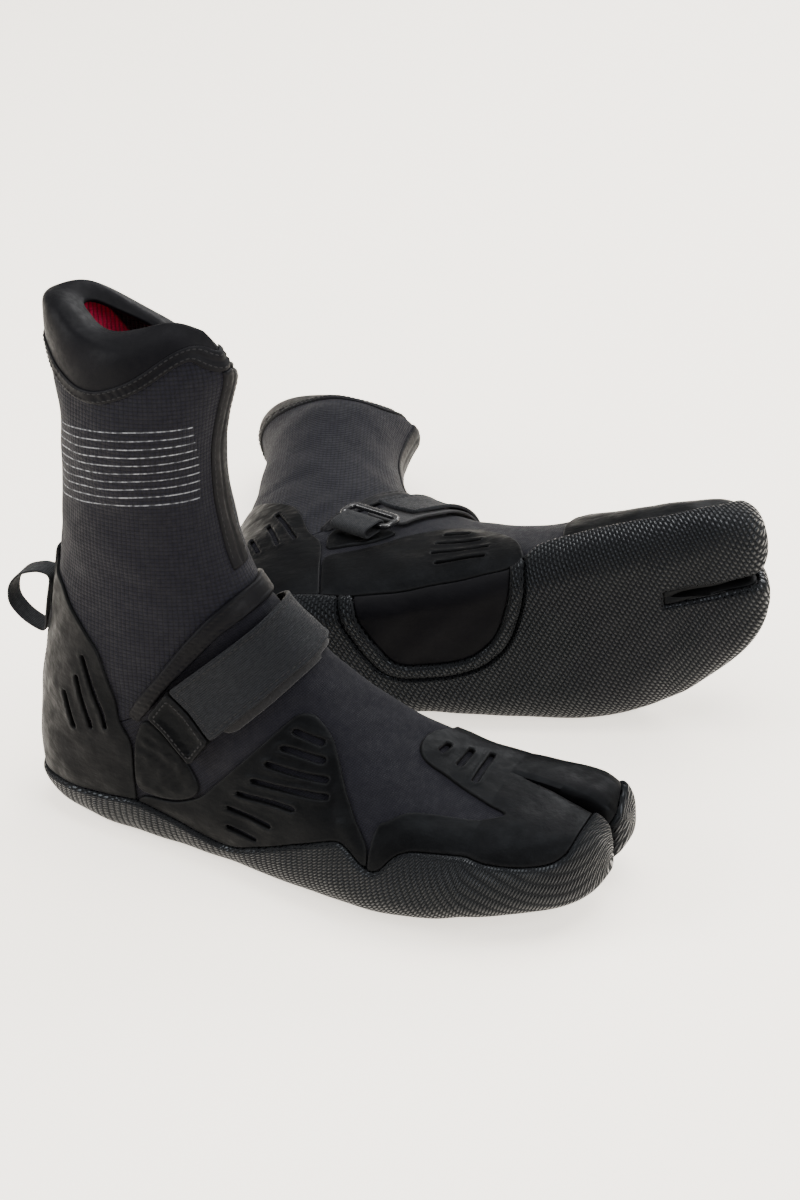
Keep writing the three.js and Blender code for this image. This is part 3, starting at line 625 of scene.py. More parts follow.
def plain_mesh(points, faces, knit=None):
    """A mesh with its own sheet coordinates, or its place in their stead."""
    knit = points if knit is None else knit
    tread = np.tile([[0.0, 0.0, 5.0]], (len(points), 1))
    return {"points": points, "faces": faces, "knit": knit, "tread": tread}


def swept(outline, count, centre, basis, side, profile):
    """A profile (outwards and sideways) carried round an outline that lies in a plane."""
    flat, directions = loop_path(outline, count)
    path, normals = centre + flat @ basis, directions @ basis
    count, rim = len(path), len(profile)
    outward, sideways = profile[None, :, :1], profile[None, :, 1:]
    points = (path[:, None] + normals[:, None] * outward + side * sideways).reshape(-1, 3)
    along = lengths(path)
    knit = np.stack([np.tile(profile[:, 1], count), np.repeat(along, rim), np.zeros(count * rim)], 1)
    faces = []
    for i in range(count):
        a, b = i * rim, ((i + 1) % count) * rim
        for j in range(rim):
            k = (j + 1) % rim
            faces += [(a + j, b + j, b + k), (a + j, b + k, a + k)]
    return plain_mesh(points, np.array(faces), knit)


def band_profile(thickness, width, corner=0.5):
    """The rounded rectangle across a flat band."""
    points = []
    for sx, sy in SQUARE:
        for t in (0.0, 0.5, 1.0):
            a = (math.atan2(sy, sx) - math.pi / 4) + t * math.pi / 2
            points.append((sx * (thickness / 2 - corner) + corner * math.cos(a),
                           sy * (width / 2 - corner) + corner * math.sin(a)))
    steps = max(2, int(width / 1.2))
    dense = []
    for (x0, y0), (x1, y1) in zip(points, points[1:] + points[:1]):
        cuts = steps if abs(y1 - y0) > 2 * corner else 1
        dense += [(x0 + (x1 - x0) * i / cuts, y0 + (y1 - y0) * i / cuts) for i in range(cuts)]
    return np.array(dense)


def loop_path(outline, count):
    """Even points round a smooth closed outline, with their outward directions, both in two dimensions."""
    smooth = rounded(outline, 4)
    path = evenly(np.concatenate([smooth, smooth[:1]]), count + 1)[:-1]
    ahead = np.roll(path, -1, axis=0) - np.roll(path, 1, axis=0)
    normals = np.stack([ahead[:, 1], -ahead[:, 0]], 1) / np.linalg.norm(ahead, axis=1, keepdims=True)
    if ((path - path.mean(axis=0)) * normals).sum() < 0:
        normals = -normals
    return path, normals


# ---- the parts of one boot, in millimetres ----

coarse = Surface(9, 56, 10)
fine = Surface(18, 118, 26)
X, Y, Z = fine.points.T


def ends(outline, low=-90, high=90, radius=3):
    """The field of an outline seen from the side, between two y values."""
    return np.minimum(inside(rounded(outline, radius), X, Z), np.minimum(Y - low, high - Y))


def sole_field():
    """How far below the sole's edge, outside the cleft."""
    slanted_x = X - BIG_TOE_SLANT * np.clip(SLANT_END_Y - Y, 0, None)
    outer, inner = above(SOLE_EDGE_OUTER, X, Z, 9), above(SOLE_EDGE_INNER, slanted_x, Z, 9)
    under_edge = -np.where(Y < CLEFT_Y, outer, inner)
    start, half_width = CLEFT_ZONE
    return np.minimum(under_edge, -np.minimum(X - start, half_width - np.abs(Y - CLEFT_Y)))


def collar_field(surface):
    """How far above the collar's seam."""
    x, y, z = surface.points.T
    return np.where(y < 0, above(COLLAR_SEAM_OUTER, x, z, 12), above(COLLAR_SEAM_INNER, x, z, 12))


def from_above(outline, radius):
    """The field of an outline seen from above."""
    return inside(rounded(outline, radius), X, Y)


def above_seam(edge):
    """How far above a hidden seam, on the coarse surface."""
    return above(edge, coarse.points[:, 0], coarse.points[:, 2])


def insole_board():
    return sheet(coarse, -above_seam(BOARD_EDGE) - HIDDEN_GAP, NEOPRENE, drop=0.3)


def foot_upper():
    field = np.minimum(-above_seam(ANKLE_SEAM), above_seam(BOARD_EDGE)) - SEAM_GAP
    return sheet(coarse, field, NEOPRENE, radius=0.9, drop=0.5)


def leg_panel():
    field = np.minimum(above_seam(ANKLE_SEAM), -collar_field(coarse)) - SEAM_GAP
    return sheet(coarse, field, NEOPRENE, radius=0.9, drop=0.5)


def collar():
    field = np.minimum(collar_field(fine) - SEAM_GAP, fine.depth)
    return sheet(fine, field, NEOPRENE, radius=1.6, drop=1.3, both=True)


def foot_lining():
    return sheet(coarse, -above_seam(ANKLE_SEAM) - HIDDEN_GAP, LINING, drop=0.3)


def leg_lining():
    field = np.minimum(above_seam(ANKLE_SEAM) - HIDDEN_GAP, coarse.depth - LINING_BELOW_RIM)
    return sheet(coarse, field, LINING, drop=0.5)


def bottom():
    """Where the surface is low enough to be cut out round the arch."""
    return Z < ARCH_TOP


def underfoot():
    """The sole's field, on the low part of the surface only."""
    return np.where(bottom(), sole_field(), -1)


def outsole():
    whole = sole_field()
    field = np.where(bottom(), np.minimum(whole, -from_above(ARCH_RIM, 8)), whole)
    return sheet(fine, field, OUTSOLE, radius=2.2, drop=2.1)


def arch_rim():
    field = np.minimum(from_above(ARCH_RIM, 8) - HIDDEN_GAP, -from_above(ARCH_WINDOW, 8))
    return sheet(fine, np.minimum(field, underfoot()), ARCH_RIM_LAYER, radius=2, drop=1.6)


def arch_panel():
    field = np.minimum(from_above(ARCH_WINDOW, 8) - HIDDEN_GAP, underfoot())
    return sheet(fine, field, OVERLAY, drop=0.5)


def lips(distance):
    """The raised lip round a slot."""
    return 0.45 * bell(distance, 0.9, 0.8)


def slotted(field, slots, puff, rise=9):
    """An overlay that swells by puff over a rise from its edge, cut through where slots is negative."""
    field = np.minimum(field, -sole_field() - SOLE_GAP)
    swell = puff * smoothstep(field, 0, rise) + lips(slots)
    return sheet(fine, np.minimum(field, slots), OVERLAY, radius=0.7, drop=0.9, extra=swell)


def side_slots(slots):
    """Distance from slots seen from the side."""
    return slot_distance(slots, X, Z)


def heel_counter():
    return slotted(ends(HEEL_OUTLINE, radius=5), side_slots(HEEL_SLOTS), 0.3)


def outer_side_overlay():
    return slotted(ends(OUTER_OVERLAY, high=-5, radius=7), side_slots(OUTER_SLOTS), 0.8)


def inner_side_overlay():
    return slotted(ends(INNER_OVERLAY, low=5, radius=7), side_slots(INNER_SLOTS), 0.8)


def toe_overlay():
    slots = np.where(Z > 46, slot_distance(TOE_SLOTS, X, Y), 9)
    return slotted(from_above(TOE_OUTLINE, 7), slots, 0.5, 8)


def outer_strap_patch():
    field = ends(OUTER_PATCH, high=0, radius=6)
    crumple = 0.5 * np.sin(0.55 * X + 0.3 * Z + 2 * np.sin(0.21 * Z)) * np.sin(0.32 * Z - 0.2 * X + 0.5)
    crumple += 0.25 * np.sin(1.1 * X - 0.5 * Z) * np.sin(0.8 * Z + 1)
    swell = (crumple + 0.5) * smoothstep(field, 0, 6)
    return sheet(fine, field, OUTER_PATCH_LAYER, radius=1.2, drop=1.3, extra=swell)


def inner_strap_patch():
    field = ends(INNER_PATCH, low=0, radius=6)
    crumple = 0.4 * np.sin(0.5 * X + 0.3 * Z) * np.sin(0.4 * Z - 0.2 * X)
    swell = crumple * smoothstep(field, 0, 6)
    return sheet(fine, field, INNER_PATCH_LAYER, radius=1.2, drop=1.3, extra=swell)


def ankle_seam_ridge():
    field = inside(rounded(RIDGE_OUTLINE, 3), X, Z)
    fade = -1.5 * (1 - smoothstep(Z, 70, 86))
    groove = -0.5 * bell(field, 2.6, 0.5)
    return sheet(fine, field, RIDGE, radius=2.4, drop=1.6, extra=fade + groove)


def taped(field, middle):
    """A tape with a shallow groove along its middle, where the seam under it is."""
    return sheet(fine, field, TAPE, radius=1.6, drop=0.9, extra=-0.5 * bell(middle, 0, 0.7))


def front_seam_tape():
    below_collar_tape = -collar_field(fine) - COLLAR_TAPE_HALF - HIDDEN_GAP
    field = np.minimum(FRONT_TAPE_HALF - np.abs(Y), np.minimum(Z - FRONT_TAPE_FOOT, below_collar_tape))
    return taped(np.minimum(field, X - FRONT_TAPE_BACK), Y)


def collar_seam_tape():
    seam = collar_field(fine)
    return taped(COLLAR_TAPE_HALF - np.abs(seam), seam)


def heel_strip():
    low, high = HEEL_STRIP_ENDS
    field = np.minimum(HEEL_STRIP_HALF - np.abs(Y), np.minimum(Z - low, high - Z))
    return sheet(fine, np.minimum(field, -X), HEEL_STRIP, radius=0.7, drop=0.8)


def strap_tab():
    field = ends(STRAP_TAB, high=0, radius=2)
    hollow = -1.3 * smoothstep(field, 2.6, 4.2) + 0.25 * bell(field, 1.2, 0.8)
    return sheet(fine, field, TAB, radius=0.8, drop=0.9, extra=hollow)


def strap_field(outer, inner, radius):
    """The field of a strap that crosses the instep, with an outline for each side."""
    return np.where(Y < 4, inside(rounded(outer, radius), X, Z), inside(rounded(inner, radius), X, Z))


def instep_strap():
    field = strap_field(STRAP_SIDE, STRAP_INNER_END, 2)
    rope = 0.35 * bell(field, 1, 0.7)
    return sheet(fine, field, STRAP, radius=0.7, drop=0.9, extra=rope)


def hook_pad():
    return sheet(fine, ends(HOOK_OUTLINE, low=4, radius=2), HOOKS, drop=0.3)


def under_strap():
    return sheet(fine, strap_field(UNDER_OUTER_SIDE, UNDER_INNER_SIDE, 3), UNDER_STRAP, drop=0.6)


def strap_ring():
    basis = np.stack([STRAP_DIRECTION, ACROSS_STRAP])
    a = np.arange(14) / 14 * 2 * np.pi
    power = 0.75
    profile = np.stack([np.sign(f(a)) * np.abs(f(a)) ** power for f in (np.cos, np.sin)], 1) * RING_BAR / 2
    outline = (RING_HALF - RING_BAR / 2) * SQUARE
    return swept(outline, 72, RING_CENTRE, basis, np.cross(STRAP_DIRECTION, ACROSS_STRAP), profile)


def ring_keeper():
    basis = np.stack([STRAP_DIRECTION, np.cross(STRAP_DIRECTION, ACROSS_STRAP)])
    centre = RING_CENTRE - KEEPER_SHIFT * STRAP_DIRECTION
    band = band_profile(WEBBING, KEEPER_WIDTH)
    return swept(KEEPER_HALF * SQUARE, 40, centre, basis, ACROSS_STRAP, band)


def pull_loop():
    outline = [(-0.6, 16.4), (-8, 16), (-17.5, 10.6), (0.6 - LOOP_REACH, 2), (-21.4, -8), (-13.8, -14.5),
               (-6, -16.9), (-0.6, -16.9)]
    lean = math.radians(LOOP_LEAN)
    basis = np.array([[math.cos(lean), 0, -math.sin(lean)], [math.sin(lean), 0, math.cos(lean)]])
    steps = 72
    side = np.array([0.0, 1.0, 0.0])
    twist = 0.5 * np.sin(np.linspace(0, 2 * np.pi, steps, endpoint=False) * 2)
    centre = LOOP_CENTRE + np.outer(twist, side)
    return swept(outline, steps, centre, basis, side, band_profile(WEBBING, LOOP_WIDTH))


def strap_stitches():
    field = strap_field(STRAP_SIDE, STRAP_INNER_END, 2)
    return stitching(contour(fine, field, 2.6, lambda p: p[:, 2] > 72), STRAP[1] - 0.05, 2.0, 2.9, 0.4)


def tab_stitches():
    field = ends(STRAP_TAB, high=0, radius=2)
    return stitching(contour(fine, field, 2.2), TAB[1] + 0.1, 1.8, 2.6, 0.4)


def collar_stitches():
    seam = collar_field(fine)
    lines = contour(fine, seam, 1.7) + contour(fine, seam, -1.7)
    return stitching(lines, TAPE[1] - 0.1, 1.9, 2.7, 0.32)


def front_seam_stitches():
    field = np.minimum(FRONT_TAPE_HALF - np.abs(Y), X - FRONT_TAPE_BACK)
    lines = contour(fine, field, 1.6, lambda p: (p[:, 2] > 150) & (p[:, 2] < 244) & (p[:, 0] > 27))
    return stitching(lines, TAPE[1] - 0.15, 2.2, 3.2, 0.35)


def heel_strip_stitches():
    field = HEEL_STRIP_HALF - np.abs(Y)
    lines = contour(fine, field, 1.5, lambda p: (p[:, 2] > 24) & (p[:, 2] < 134) & (p[:, 0] < -20))
    return stitching(lines, HEEL_STRIP[1], 2.0, 2.9, 0.35)


# ---- materials ----

# The tint of the reflections on rubber and webbing.
COOL = (0.82, 0.9, 1.0, 1.0)


class Look:
    """A material with short calls for the nodes used here. Lengths in its patterns are millimetres."""

    def __init__(self, name, colour, roughness, **settings):
        self.material = bpy.data.materials.new(name)
        self.material.use_nodes = True
        self.tree = self.material.node_tree
        self.shader = self.tree.nodes["Principled BSDF"]
        self.shader.inputs["Base Color"].default_value = (*colour, 1)
        self.shader.inputs["Roughness"].default_value = roughness
        for key, value in settings.items():
            self.shader.inputs[key.replace("_", " ")].default_value = value
        self.heights = []

    def node(self, kind, values=(), **settings):
        made = self.tree.nodes.new(kind)
        for key, value in settings.items():
            setattr(made, key, value)
        for key, value in dict(values).items():
            if isinstance(value, bpy.types.NodeSocket):
                self.tree.links.new(value, made.inputs[key])
            else:
                made.inputs[key].default_value = value
        return made

    def math(self, operation, a, b=0.0, c=0.0):
        return self.node("ShaderNodeMath", {0: a, 1: b, 2: c}, operation=operation).outputs[0]

    def times(self, a, b):
        return self.math("MULTIPLY", a, b)

    def plus(self, a, b):
        return self.math("ADD", a, b)

    def minus(self, a, b):
        return self.math("SUBTRACT", a, b)

    def parts(self, name):
        """The three numbers of a vector attribute."""
        vector = self.node("ShaderNodeAttribute", attribute_name=name).outputs["Vector"]
        return self.node("ShaderNodeSeparateXYZ", {0: vector}).outputs

    def noise(self, scale, detail=3, stretch=None):
        """Noise about the boot's own frame; scale is features per millimetre."""
        place = self.node("ShaderNodeAttribute", attribute_name="place").outputs["Vector"]
        if stretch:
            place = self.node("ShaderNodeVectorMath", {0: place, 1: stretch}, operation="MULTIPLY").outputs[0]
        return self.node("ShaderNodeTexNoise", {"Vector": place, "Scale": scale, "Detail": detail}).outputs[0]

    def ramp(self, value, low, high, to_low=0.0, to_high=1.0):
        """A smooth step from to_low to to_high as value goes from low to high."""
        values = {0: value, 1: low, 2: high, 3: to_low, 4: to_high}
        return self.node("ShaderNodeMapRange", values, interpolation_type="SMOOTHSTEP").outputs[0]

    def mix(self, factor, a, b):
        """Colour a going over into colour b as factor goes from 0 to 1."""
        a, b = (c if isinstance(c, bpy.types.NodeSocket) else (*c, 1) for c in (a, b))
        return self.node("ShaderNodeMix", {0: factor, 6: a, 7: b}, data_type="RGBA").outputs[2]

    def ridges(self, value, pitch, power=1.0):
        """Rounded ridges, 0 in the grooves and 1 on the crests."""
        wave = self.math("ABSOLUTE", self.math("SINE", self.times(value, math.pi / pitch)))
        return self.math("POWER", wave, power)

    def raise_by(self, height, millimetres):
        """Adds a pattern of heights to the bump."""
        self.heights.append(self.times(height, millimetres * 0.001))

    def grain(self, scale, detail, millimetres):
        """Adds noise to the bump."""
        self.raise_by(self.noise(scale, detail), millimetres)

    def finish(self, colour, roughness=None):
        self.tree.links.new(colour, self.shader.inputs["Base Color"])
        if roughness is not None:
            self.tree.links.new(roughness, self.shader.inputs["Roughness"])
        total = self.heights[0]
        for height in self.heights[1:]:
            total = self.plus(total, height)
        bump = self.node("ShaderNodeBump", {"Height": total, "Distance": 1.0, "Strength": 1.0})
        self.tree.links.new(bump.outputs[0], self.shader.inputs["Normal"])
        return self.material


def knitted(name, leg):
    """Neoprene faced with a fine square-grid knit. The leg carries ten thin silver lines."""
    look = Look(name, (0.004, 0.004, 0.007), 0.75, Sheen_Weight=0.03, Sheen_Roughness=0.45,
                Specular_IOR_Level=0.1)
    knit, place = look.parts("knit"), look.parts("place")
    across, along = (knit[2], place[2]) if leg else (knit[0], knit[1])
    pitch, power, height = (2.0, 0.4, 0.3) if leg else (1.1, 0.5, 0.14)
    cells = look.times(look.ridges(across, pitch, power), look.ridges(along, pitch, power))
    look.raise_by(cells, height)
    look.raise_by(look.ridges(across, 0.5), 0.04)
    look.grain(0.9, 4, 0.06)
    mottled = look.mix(look.noise(0.05, 4), (0.003, 0.003, 0.006), (0.006, 0.006, 0.0105))
    # Near black in the grooves between the knit's cells: painted shade.
    colour = look.mix(cells, (0.001, 0.001, 0.0015), mottled)
    rough = look.ramp(look.noise(0.3), 0.3, 0.7, 0.68, 0.82)
    if leg:
        colour, rough = silver_lines(look, place, colour, rough)
    return look.finish(colour, rough)


def silver_lines(look, place, colour, rough):
    """Ten level lines on the outer side, drooping towards the back of the leg."""
    lowest, highest, count = 186, 224, 10
    pitch = (highest - lowest) / (count - 1)
    back = look.minus(place[0], 40.0)
    droop = look.times(look.times(back, back), 0.0026)
    height = look.plus(place[2], droop)
    away = look.math("PINGPONG", look.minus(height, lowest), pitch / 2)
    mask = look.ramp(away, 0.2, 0.38, 1, 0)
    outer_side = look.times(place[1], -1.0)
    for value, low, high in ((height, lowest - 1.2, lowest - 0.9), (outer_side, -1, 0)):
        mask = look.times(mask, look.ramp(value, low, high))
    for value, low, high in ((height, highest + 0.9, highest + 1.2), (place[0], 47.6, 48.2)):
        mask = look.times(mask, look.ramp(value, low, high, 1, 0))
    # Noise thins the lines in patches: wear of the print, and painted glints where they stay bright.
    wear_and_highlight = look.ramp(look.noise(0.45, 5), 0.36, 0.66, 0.15, 1)
    mask = look.times(mask, wear_and_highlight)
    look.raise_by(mask, 0.2)
    look.tree.links.new(look.times(mask, 0.7), look.shader.inputs["Metallic"])
    matt = look.times(rough, look.minus(1.0, mask))
    rough = look.plus(matt, look.times(mask, 0.33))
    return look.mix(mask, colour, (0.19, 0.2, 0.22)), rough


def smooth_skin():
    look = Look("smooth_skin", (0.002, 0.002, 0.0026), 0.5, Specular_IOR_Level=0.07)
    look.grain(1.2, 5, 0.05)
    look.grain(0.12, 3, 0.25)
    colour = look.mix(look.noise(0.07, 4), (0.0012, 0.0012, 0.0017), (0.0028, 0.0028, 0.004))
    return look.finish(colour, look.ramp(look.noise(0.4), 0.3, 0.7, 0.46, 0.6))


# The lining is near black in front of a border through a point x z at the collar, leaning with the height,
# down to its foot.
DARK_FRONT_TOP = (-15, 258)
DARK_FRONT_LEAN = 0.6
DARK_FRONT_FOOT = 150


def red_lining():
    """Red ribbed fleece, turning near black up the front of the leg."""
    look = Look("red_lining", (0.6, 0.003, 0.06), 0.9, Sheen_Weight=0.2, Sheen_Roughness=0.5)
    knit, place = look.parts("knit"), look.parts("place")
    ribs = look.ridges(knit[2], 2.2, 0.6)
    rungs = look.ridges(place[2], 1.4, 0.8)
    look.raise_by(look.times(ribs, look.plus(look.times(rungs, 0.3), 0.7)), 0.5)
    look.grain(1.5, 4, 0.12)
    colour = look.mix(ribs, (0.16, 0.0, 0.02), (0.7, 0.004, 0.08))
    front = look.plus(place[0], look.times(place[2], DARK_FRONT_LEAN))
    border = DARK_FRONT_LEAN * DARK_FRONT_TOP[1] + DARK_FRONT_TOP[0]
    black = look.times(look.ramp(front, border - 1, border + 1),
                      look.ramp(place[2], DARK_FRONT_FOOT, DARK_FRONT_FOOT + 2))
    return look.finish(look.mix(black, colour, (0.004, 0.004, 0.005)))


def smooth_rubber():
    """Poured rubber over neoprene: satin and faintly grained, lighter along its edges from wear and a painted
    edge highlight.
    """
    look = Look("smooth_rubber", (0.003, 0.003, 0.003), 0.5, Specular_IOR_Level=0.05, Specular_Tint=COOL)
    edge = look.parts("tread")[2]
    look.grain(2.2, 4, 0.035)
    look.grain(0.22, 4, 0.22)
    look.raise_by(look.noise(0.09, 3, (1, 1, 2)), 0.5)
    colour = look.mix(look.noise(0.06, 5), (0.0009, 0.0009, 0.001), (0.0022, 0.0022, 0.0024))
    # Lighter along the edges, in noisy patches: wear, and a painted highlight on the edges.
    wear_and_highlight = look.times(look.ramp(edge, 0.2, 1.6, 1, 0), look.noise(0.6, 4))
    colour = look.mix(look.times(wear_and_highlight, 0.5), colour, (0.012, 0.012, 0.012))
    return look.finish(colour, look.ramp(look.noise(0.16, 4), 0.3, 0.7, 0.4, 0.58))


def textured_rubber():
    """The sole's rubber, moulded with staggered slanted grains like rice."""
    look = Look("textured_rubber", (0.004, 0.004, 0.004), 0.35, Specular_IOR_Level=0.19, Specular_Tint=COOL)
    run, across, edge = look.parts("tread")
    grain_width, grain_length = 1.9, 3.2
    rows = look.plus(run, look.times(across, 0.45))
    stagger = look.times(look.math("FLOOR", look.math("DIVIDE", rows, grain_width)), grain_length / 2)
    thickness = look.ridges(rows, grain_width, 0.8)
    lengthwise = look.ridges(look.plus(across, stagger), grain_length, 0.5)
    mesh = look.times(thickness, lengthwise)
    border = look.ramp(edge, 0.6, 2.0)
    look.raise_by(look.times(mesh, border), 1.3)
    look.grain(0.7, 4, 0.06)
    # Darker in the grooves and lighter on the grain tops: painted shade and painted highlight.
    colour = look.mix(mesh, (0.0002, 0.0002, 0.0002), (0.002, 0.002, 0.0024))
    dusty = look.times(look.ramp(look.noise(0.05, 5), 0.45, 0.7), 0.4)
    colour = look.mix(dusty, colour, (0.004, 0.004, 0.004))
    return look.finish(colour, look.ramp(mesh, 0.4, 0.85, 0.9, 0.24))


def webbing(name, base, glint, loose=False):
    """Woven tape: ribs along its length crossed by fine picks."""
    look = Look(name, base, 0.7, Sheen_Weight=0.03, Sheen_Roughness=0.4, Specular_IOR_Level=0.14,
                Specular_Tint=COOL)
    if loose:
        across, along, _ = look.parts("knit")
    else:
        place = look.parts("place")
        across = look.minus(look.times(place[0], 0.69), look.times(place[2], 0.72))
        along = look.plus(look.times(place[2], 0.69), look.times(place[0], 0.72))
        along = look.plus(along, place[1])
    ribs = look.ridges(across, 1.05, 0.6)
    picks = look.ridges(along, 0.55, 0.9)
    weave = look.times(ribs, look.plus(look.times(picks, 0.5), 0.5))
    look.raise_by(weave, 0.3)
    look.grain(1.4, 4, 0.05)
    # Painted shade in the grooves of the weave, and the glint colour as a painted highlight on its ribs.
    colour = look.mix(weave, tuple(c * 0.35 for c in base), glint)
    return look.finish(colour, look.ramp(look.noise(0.5), 0.3, 0.7, 0.6, 0.8))


def pile(name, scale, height, colour):
    look = Look(name, colour, 0.9, Sheen_Weight=0.1, Sheen_Roughness=0.5, Specular_IOR_Level=0.2)
    look.grain(scale, 5, height)
    dark, light = (tuple(c * share for c in colour) for share in (0.5, 1.6))
    return look.finish(look.mix(look.noise(scale * 0.5, 5), dark, light))


def moulded_plastic():
    look = Look("moulded_plastic", (0.008, 0.008, 0.009), 0.22, Specular_IOR_Level=0.6)
    look.grain(0.5, 3, 0.05)
    colour = look.mix(look.noise(0.2, 4), (0.006, 0.006, 0.007), (0.012, 0.012, 0.013))
    return look.finish(colour, look.ramp(look.noise(0.8, 4), 0.35, 0.7, 0.18, 0.32))


def thread():
    look = Look("thread", (0.006, 0.006, 0.0065), 0.6, Specular_IOR_Level=0.15)
    look.grain(3.0, 3, 0.05)
    return look.finish(look.mix(look.noise(1.0), (0.004, 0.004, 0.0045), (0.009, 0.009, 0.010)))


LOOKS = {
    "neoprene_leg": knitted("knitted_leg", leg=True),
    "neoprene_foot": knitted("knitted_foot", leg=False),
    "smooth_skin": smooth_skin(),
    "lining": red_lining(),
    "smooth_rubber": smooth_rubber(),
    "textured_rubber": textured_rubber(),
    "webbing": webbing("strap_webbing", (0.003, 0.003, 0.0036), (0.007, 0.007, 0.0082)),
    "tape_webbing": webbing("tape_webbing", (0.006, 0.006, 0.007), (0.013, 0.013, 0.014), loose=True),
    "loop_webbing": pile("loop_pile", 1.6, 0.4, (0.007, 0.007, 0.008)),
    "hook_pad": pile("hooks", 1.1, 0.5, (0.006, 0.006, 0.006)),
    "plastic": moulded_plastic(),
    "board": pile("insole_board", 0.8, 0.2, (0.05, 0.05, 0.052)),
    "thread": thread(),
}

# ---- the pair ----

# Function, named like its part, then material, record's material slot and body.
PARTS = [
    (insole_board, "board", "board", "boot"),
    (foot_upper, "neoprene_foot", "neoprene", "boot"),
    (leg_panel, "neoprene_leg", "neoprene", "boot"),
    (collar, "smooth_skin", "smooth_skin", "boot"),
    (foot_lining, "lining", "lining", "boot"),
    (leg_lining, "lining", "lining", "boot"),
    (outsole, "textured_rubber", "textured_rubber", "boot"),
    (arch_rim, "textured_rubber", "textured_rubber", "boot"),
    (arch_panel, "smooth_skin", "smooth_skin", "boot"),
    (heel_counter, "smooth_rubber", "smooth_rubber", "boot"),
    (outer_side_overlay, "smooth_rubber", "smooth_rubber", "boot"),
    (inner_side_overlay, "smooth_rubber", "smooth_rubber", "boot"),
    (toe_overlay, "smooth_rubber", "smooth_rubber", "boot"),
    (outer_strap_patch, "smooth_rubber", "smooth_rubber", "boot"),
    (inner_strap_patch, "smooth_rubber", "smooth_rubber", "boot"),
    (ankle_seam_ridge, "smooth_skin", "smooth_rubber", "boot"),
    (front_seam_tape, "smooth_skin", "smooth_skin", "boot"),
    (collar_seam_tape, "smooth_skin", "smooth_skin", "boot"),
    (heel_strip, "webbing", "webbing", "boot"),
    (strap_tab, "smooth_rubber", "webbing", "boot"),
    (instep_strap, "webbing", "webbing", "strap"),
    (hook_pad, "hook_pad", "hook_pad", "strap"),
    (under_strap, "loop_webbing", "loop_webbing", "boot"),
    (strap_ring, "plastic", "plastic", "boot"),
    (ring_keeper, "tape_webbing", "webbing", "boot"),
    (pull_loop, "tape_webbing", "webbing", "loop"),
]
STITCHES = [
    (strap_stitches, "strap"),
    (tab_stitches, "boot"),
    (collar_stitches, "boot"),
    (front_seam_stitches, "boot"),
    (heel_strip_stitches, "boot"),
]


def left_turn():
    """The rotation and reflection that lays the left boot on its outer side."""
    up = LEFT_UP / np.linalg.norm(LEFT_UP)
    along = np.array([1, 0, 0]) - up * up[0]
    along = along / np.linalg.norm(along)
    lay = np.stack([along, np.cross(along, up), up])
    c, s = math.cos(math.radians(LEFT_YAW)), math.sin(math.radians(LEFT_YAW))
    return np.array([[c, -s, 0], [s, c, 0], [0, 0, 1]]) @ lay


def placement(side):
    """The rotation, and the shift in millimetres, found from the strap ring's place in the CAD model."""
    turn = np.eye(3) if side == "right" else left_turn()
    low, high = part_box(f"{side}_strap_ring")
    return turn, np.array((low + high) / 2) * 1000 - turn @ RING_CENTRE


def put(name, data, place=(0, 0, 0), looks_along=None):
    """A new object in the scene. A lamp or camera gets a direction to look along."""
    thing = bpy.data.objects.new(name, data)
    thing.location = place
    if looks_along is not None:
        thing.rotation_mode = "QUATERNION"
        thing.rotation_quaternion = looks_along.to_track_quat("-Z", "Y")
    bpy.context.scene.collection.objects.link(thing)
    return thing


def make_object(name, made, turn, shift, material, body):
    points = (made["points"] @ turn.T + shift) * 0.001
    faces = made["faces"] if np.linalg.det(turn) > 0 else made["faces"][:, ::-1]
    mesh = bpy.data.meshes.new(name)
    mesh.vertices.add(len(points))
    mesh.vertices.foreach_set("co", points.astype(np.float32).ravel())
    mesh.loops.add(faces.size)
    mesh.loops.foreach_set("vertex_index", faces.astype(np.int32).ravel())
    mesh.polygons.add(len(faces))
    mesh.polygons.foreach_set("loop_start", np.arange(0, faces.size, 3, dtype=np.int32))
    mesh.update(calc_edges=True)
    for key, values in (("place", made["points"]), ("knit", made["knit"]), ("tread", made["tread"])):
        attribute = mesh.attributes.new(key, "FLOAT_VECTOR", "POINT")
        attribute.data.foreach_set("vector", values.astype(np.float32).ravel())
    mesh.polygons.foreach_set("use_smooth", np.ones(len(faces), bool))
    mesh.set_sharp_from_angle(angle=math.radians(50))
    mesh.materials.append(material)
    piece = put(name, mesh)
    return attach(piece, body)


def build_pair():
    places = {side: placement(side) for side in ("right", "left")}
    for make, look, slot, body in PARTS:
        part, made = make.__name__, make()
        for side, (turn, shift) in places.items():
            piece = make_object(f"{side}_{part}_piece", made, turn, shift, LOOKS[look], f"{side}_{body}")
            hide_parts(f"{side}_{part}")
    for make, body in STITCHES:
        made = make()
        for side, (turn, shift) in places.items():
            make_object(f"{side}_{make.__name__}", made, turn, shift, LOOKS["thread"], f"{side}_{body}")


# ---- floor, light and camera ----

FLOOR_COLOUR = (0.96, 0.89, 0.79)
FLOOR_GLOW = 1.6
FLOOR_HALF_SIZE = 30
WORLD_STRENGTH = 0.6
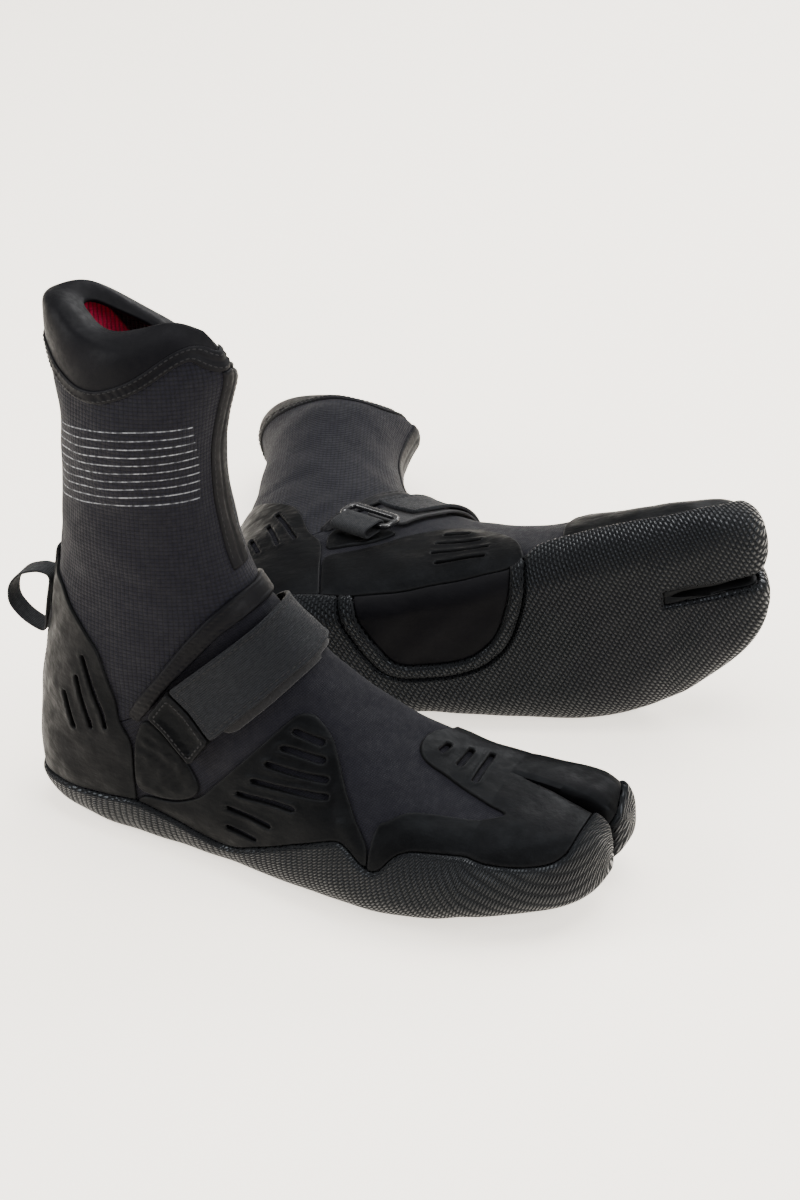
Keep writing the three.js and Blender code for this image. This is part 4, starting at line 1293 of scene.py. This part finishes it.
# Name, place, what it is aimed at, size and power.
LIGHTS = [
    ("overhead", (0.1, 0.2, 1.6), (0, 0, 0), (1.6, 1.2), 38),
    ("left_box", (-1.2, -0.9, 0.9), (0, -0.05, 0.1), (0.7, 1.0), 30),
    ("right_box", (1.3, -0.5, 0.8), (0.02, 0, 0.1), (0.5, 0.9), 20),
    ("back_strip", (0.3, 1.4, 0.9), (0, 0, 0.15), (1.4, 0.4), 24),
]
CAMERA_AZIMUTH = 24
CAMERA_ELEVATION = 31
CAMERA_DISTANCE = 1.5
CAMERA_TARGET = np.array([100, 93, 85])
CAMERA_LENS = 90.9


def make_floor():
    material = bpy.data.materials.new("studio_floor")
    material.use_nodes = True
    shader = material.node_tree.nodes["Principled BSDF"]
    shader.inputs["Base Color"].default_value = (*FLOOR_COLOUR, 1)
    shader.inputs["Roughness"].default_value = 0.9
    shader.inputs["Emission Color"].default_value = (*FLOOR_COLOUR, 1)
    shader.inputs["Emission Strength"].default_value = FLOOR_GLOW
    mesh = bpy.data.meshes.new("floor")
    size = FLOOR_HALF_SIZE
    corners = [(-size, -size, 0), (size, -size, 0), (size, size, 0), (-size, size, 0)]
    mesh.from_pydata(corners, [], [(0, 1, 2, 3)])
    mesh.materials.append(material)
    floor = put("floor", mesh)


def make_world():
    world = bpy.data.worlds.new("studio")
    world.use_nodes = True
    background = world.node_tree.nodes["Background"]
    background.inputs[0].default_value = (1.0, 0.985, 0.96, 1)
    background.inputs[1].default_value = WORLD_STRENGTH
    bpy.context.scene.world = world


def make_light(name, place, target, size, power):
    light = bpy.data.lights.new(name, "AREA")
    light.shape = "RECTANGLE"
    light.size, light.size_y = size
    light.energy = power
    put(name, light, place, Vector(target) - Vector(place))


def make_camera():
    target = Vector((CAMERA_TARGET + placement("right")[1]) * 0.001)
    a, e = math.radians(CAMERA_AZIMUTH), math.radians(CAMERA_ELEVATION)
    back = Vector((math.sin(a) * math.cos(e), -math.cos(a) * math.cos(e), math.sin(e)))
    data = bpy.data.cameras.new("camera")
    data.sensor_fit = "VERTICAL"
    data.sensor_height = 36
    data.lens = CAMERA_LENS
    bpy.context.scene.camera = put("camera", data, target + back * CAMERA_DISTANCE, -back)


build_pair()
make_floor()
make_world()
for light in LIGHTS:
    make_light(*light)
make_camera()
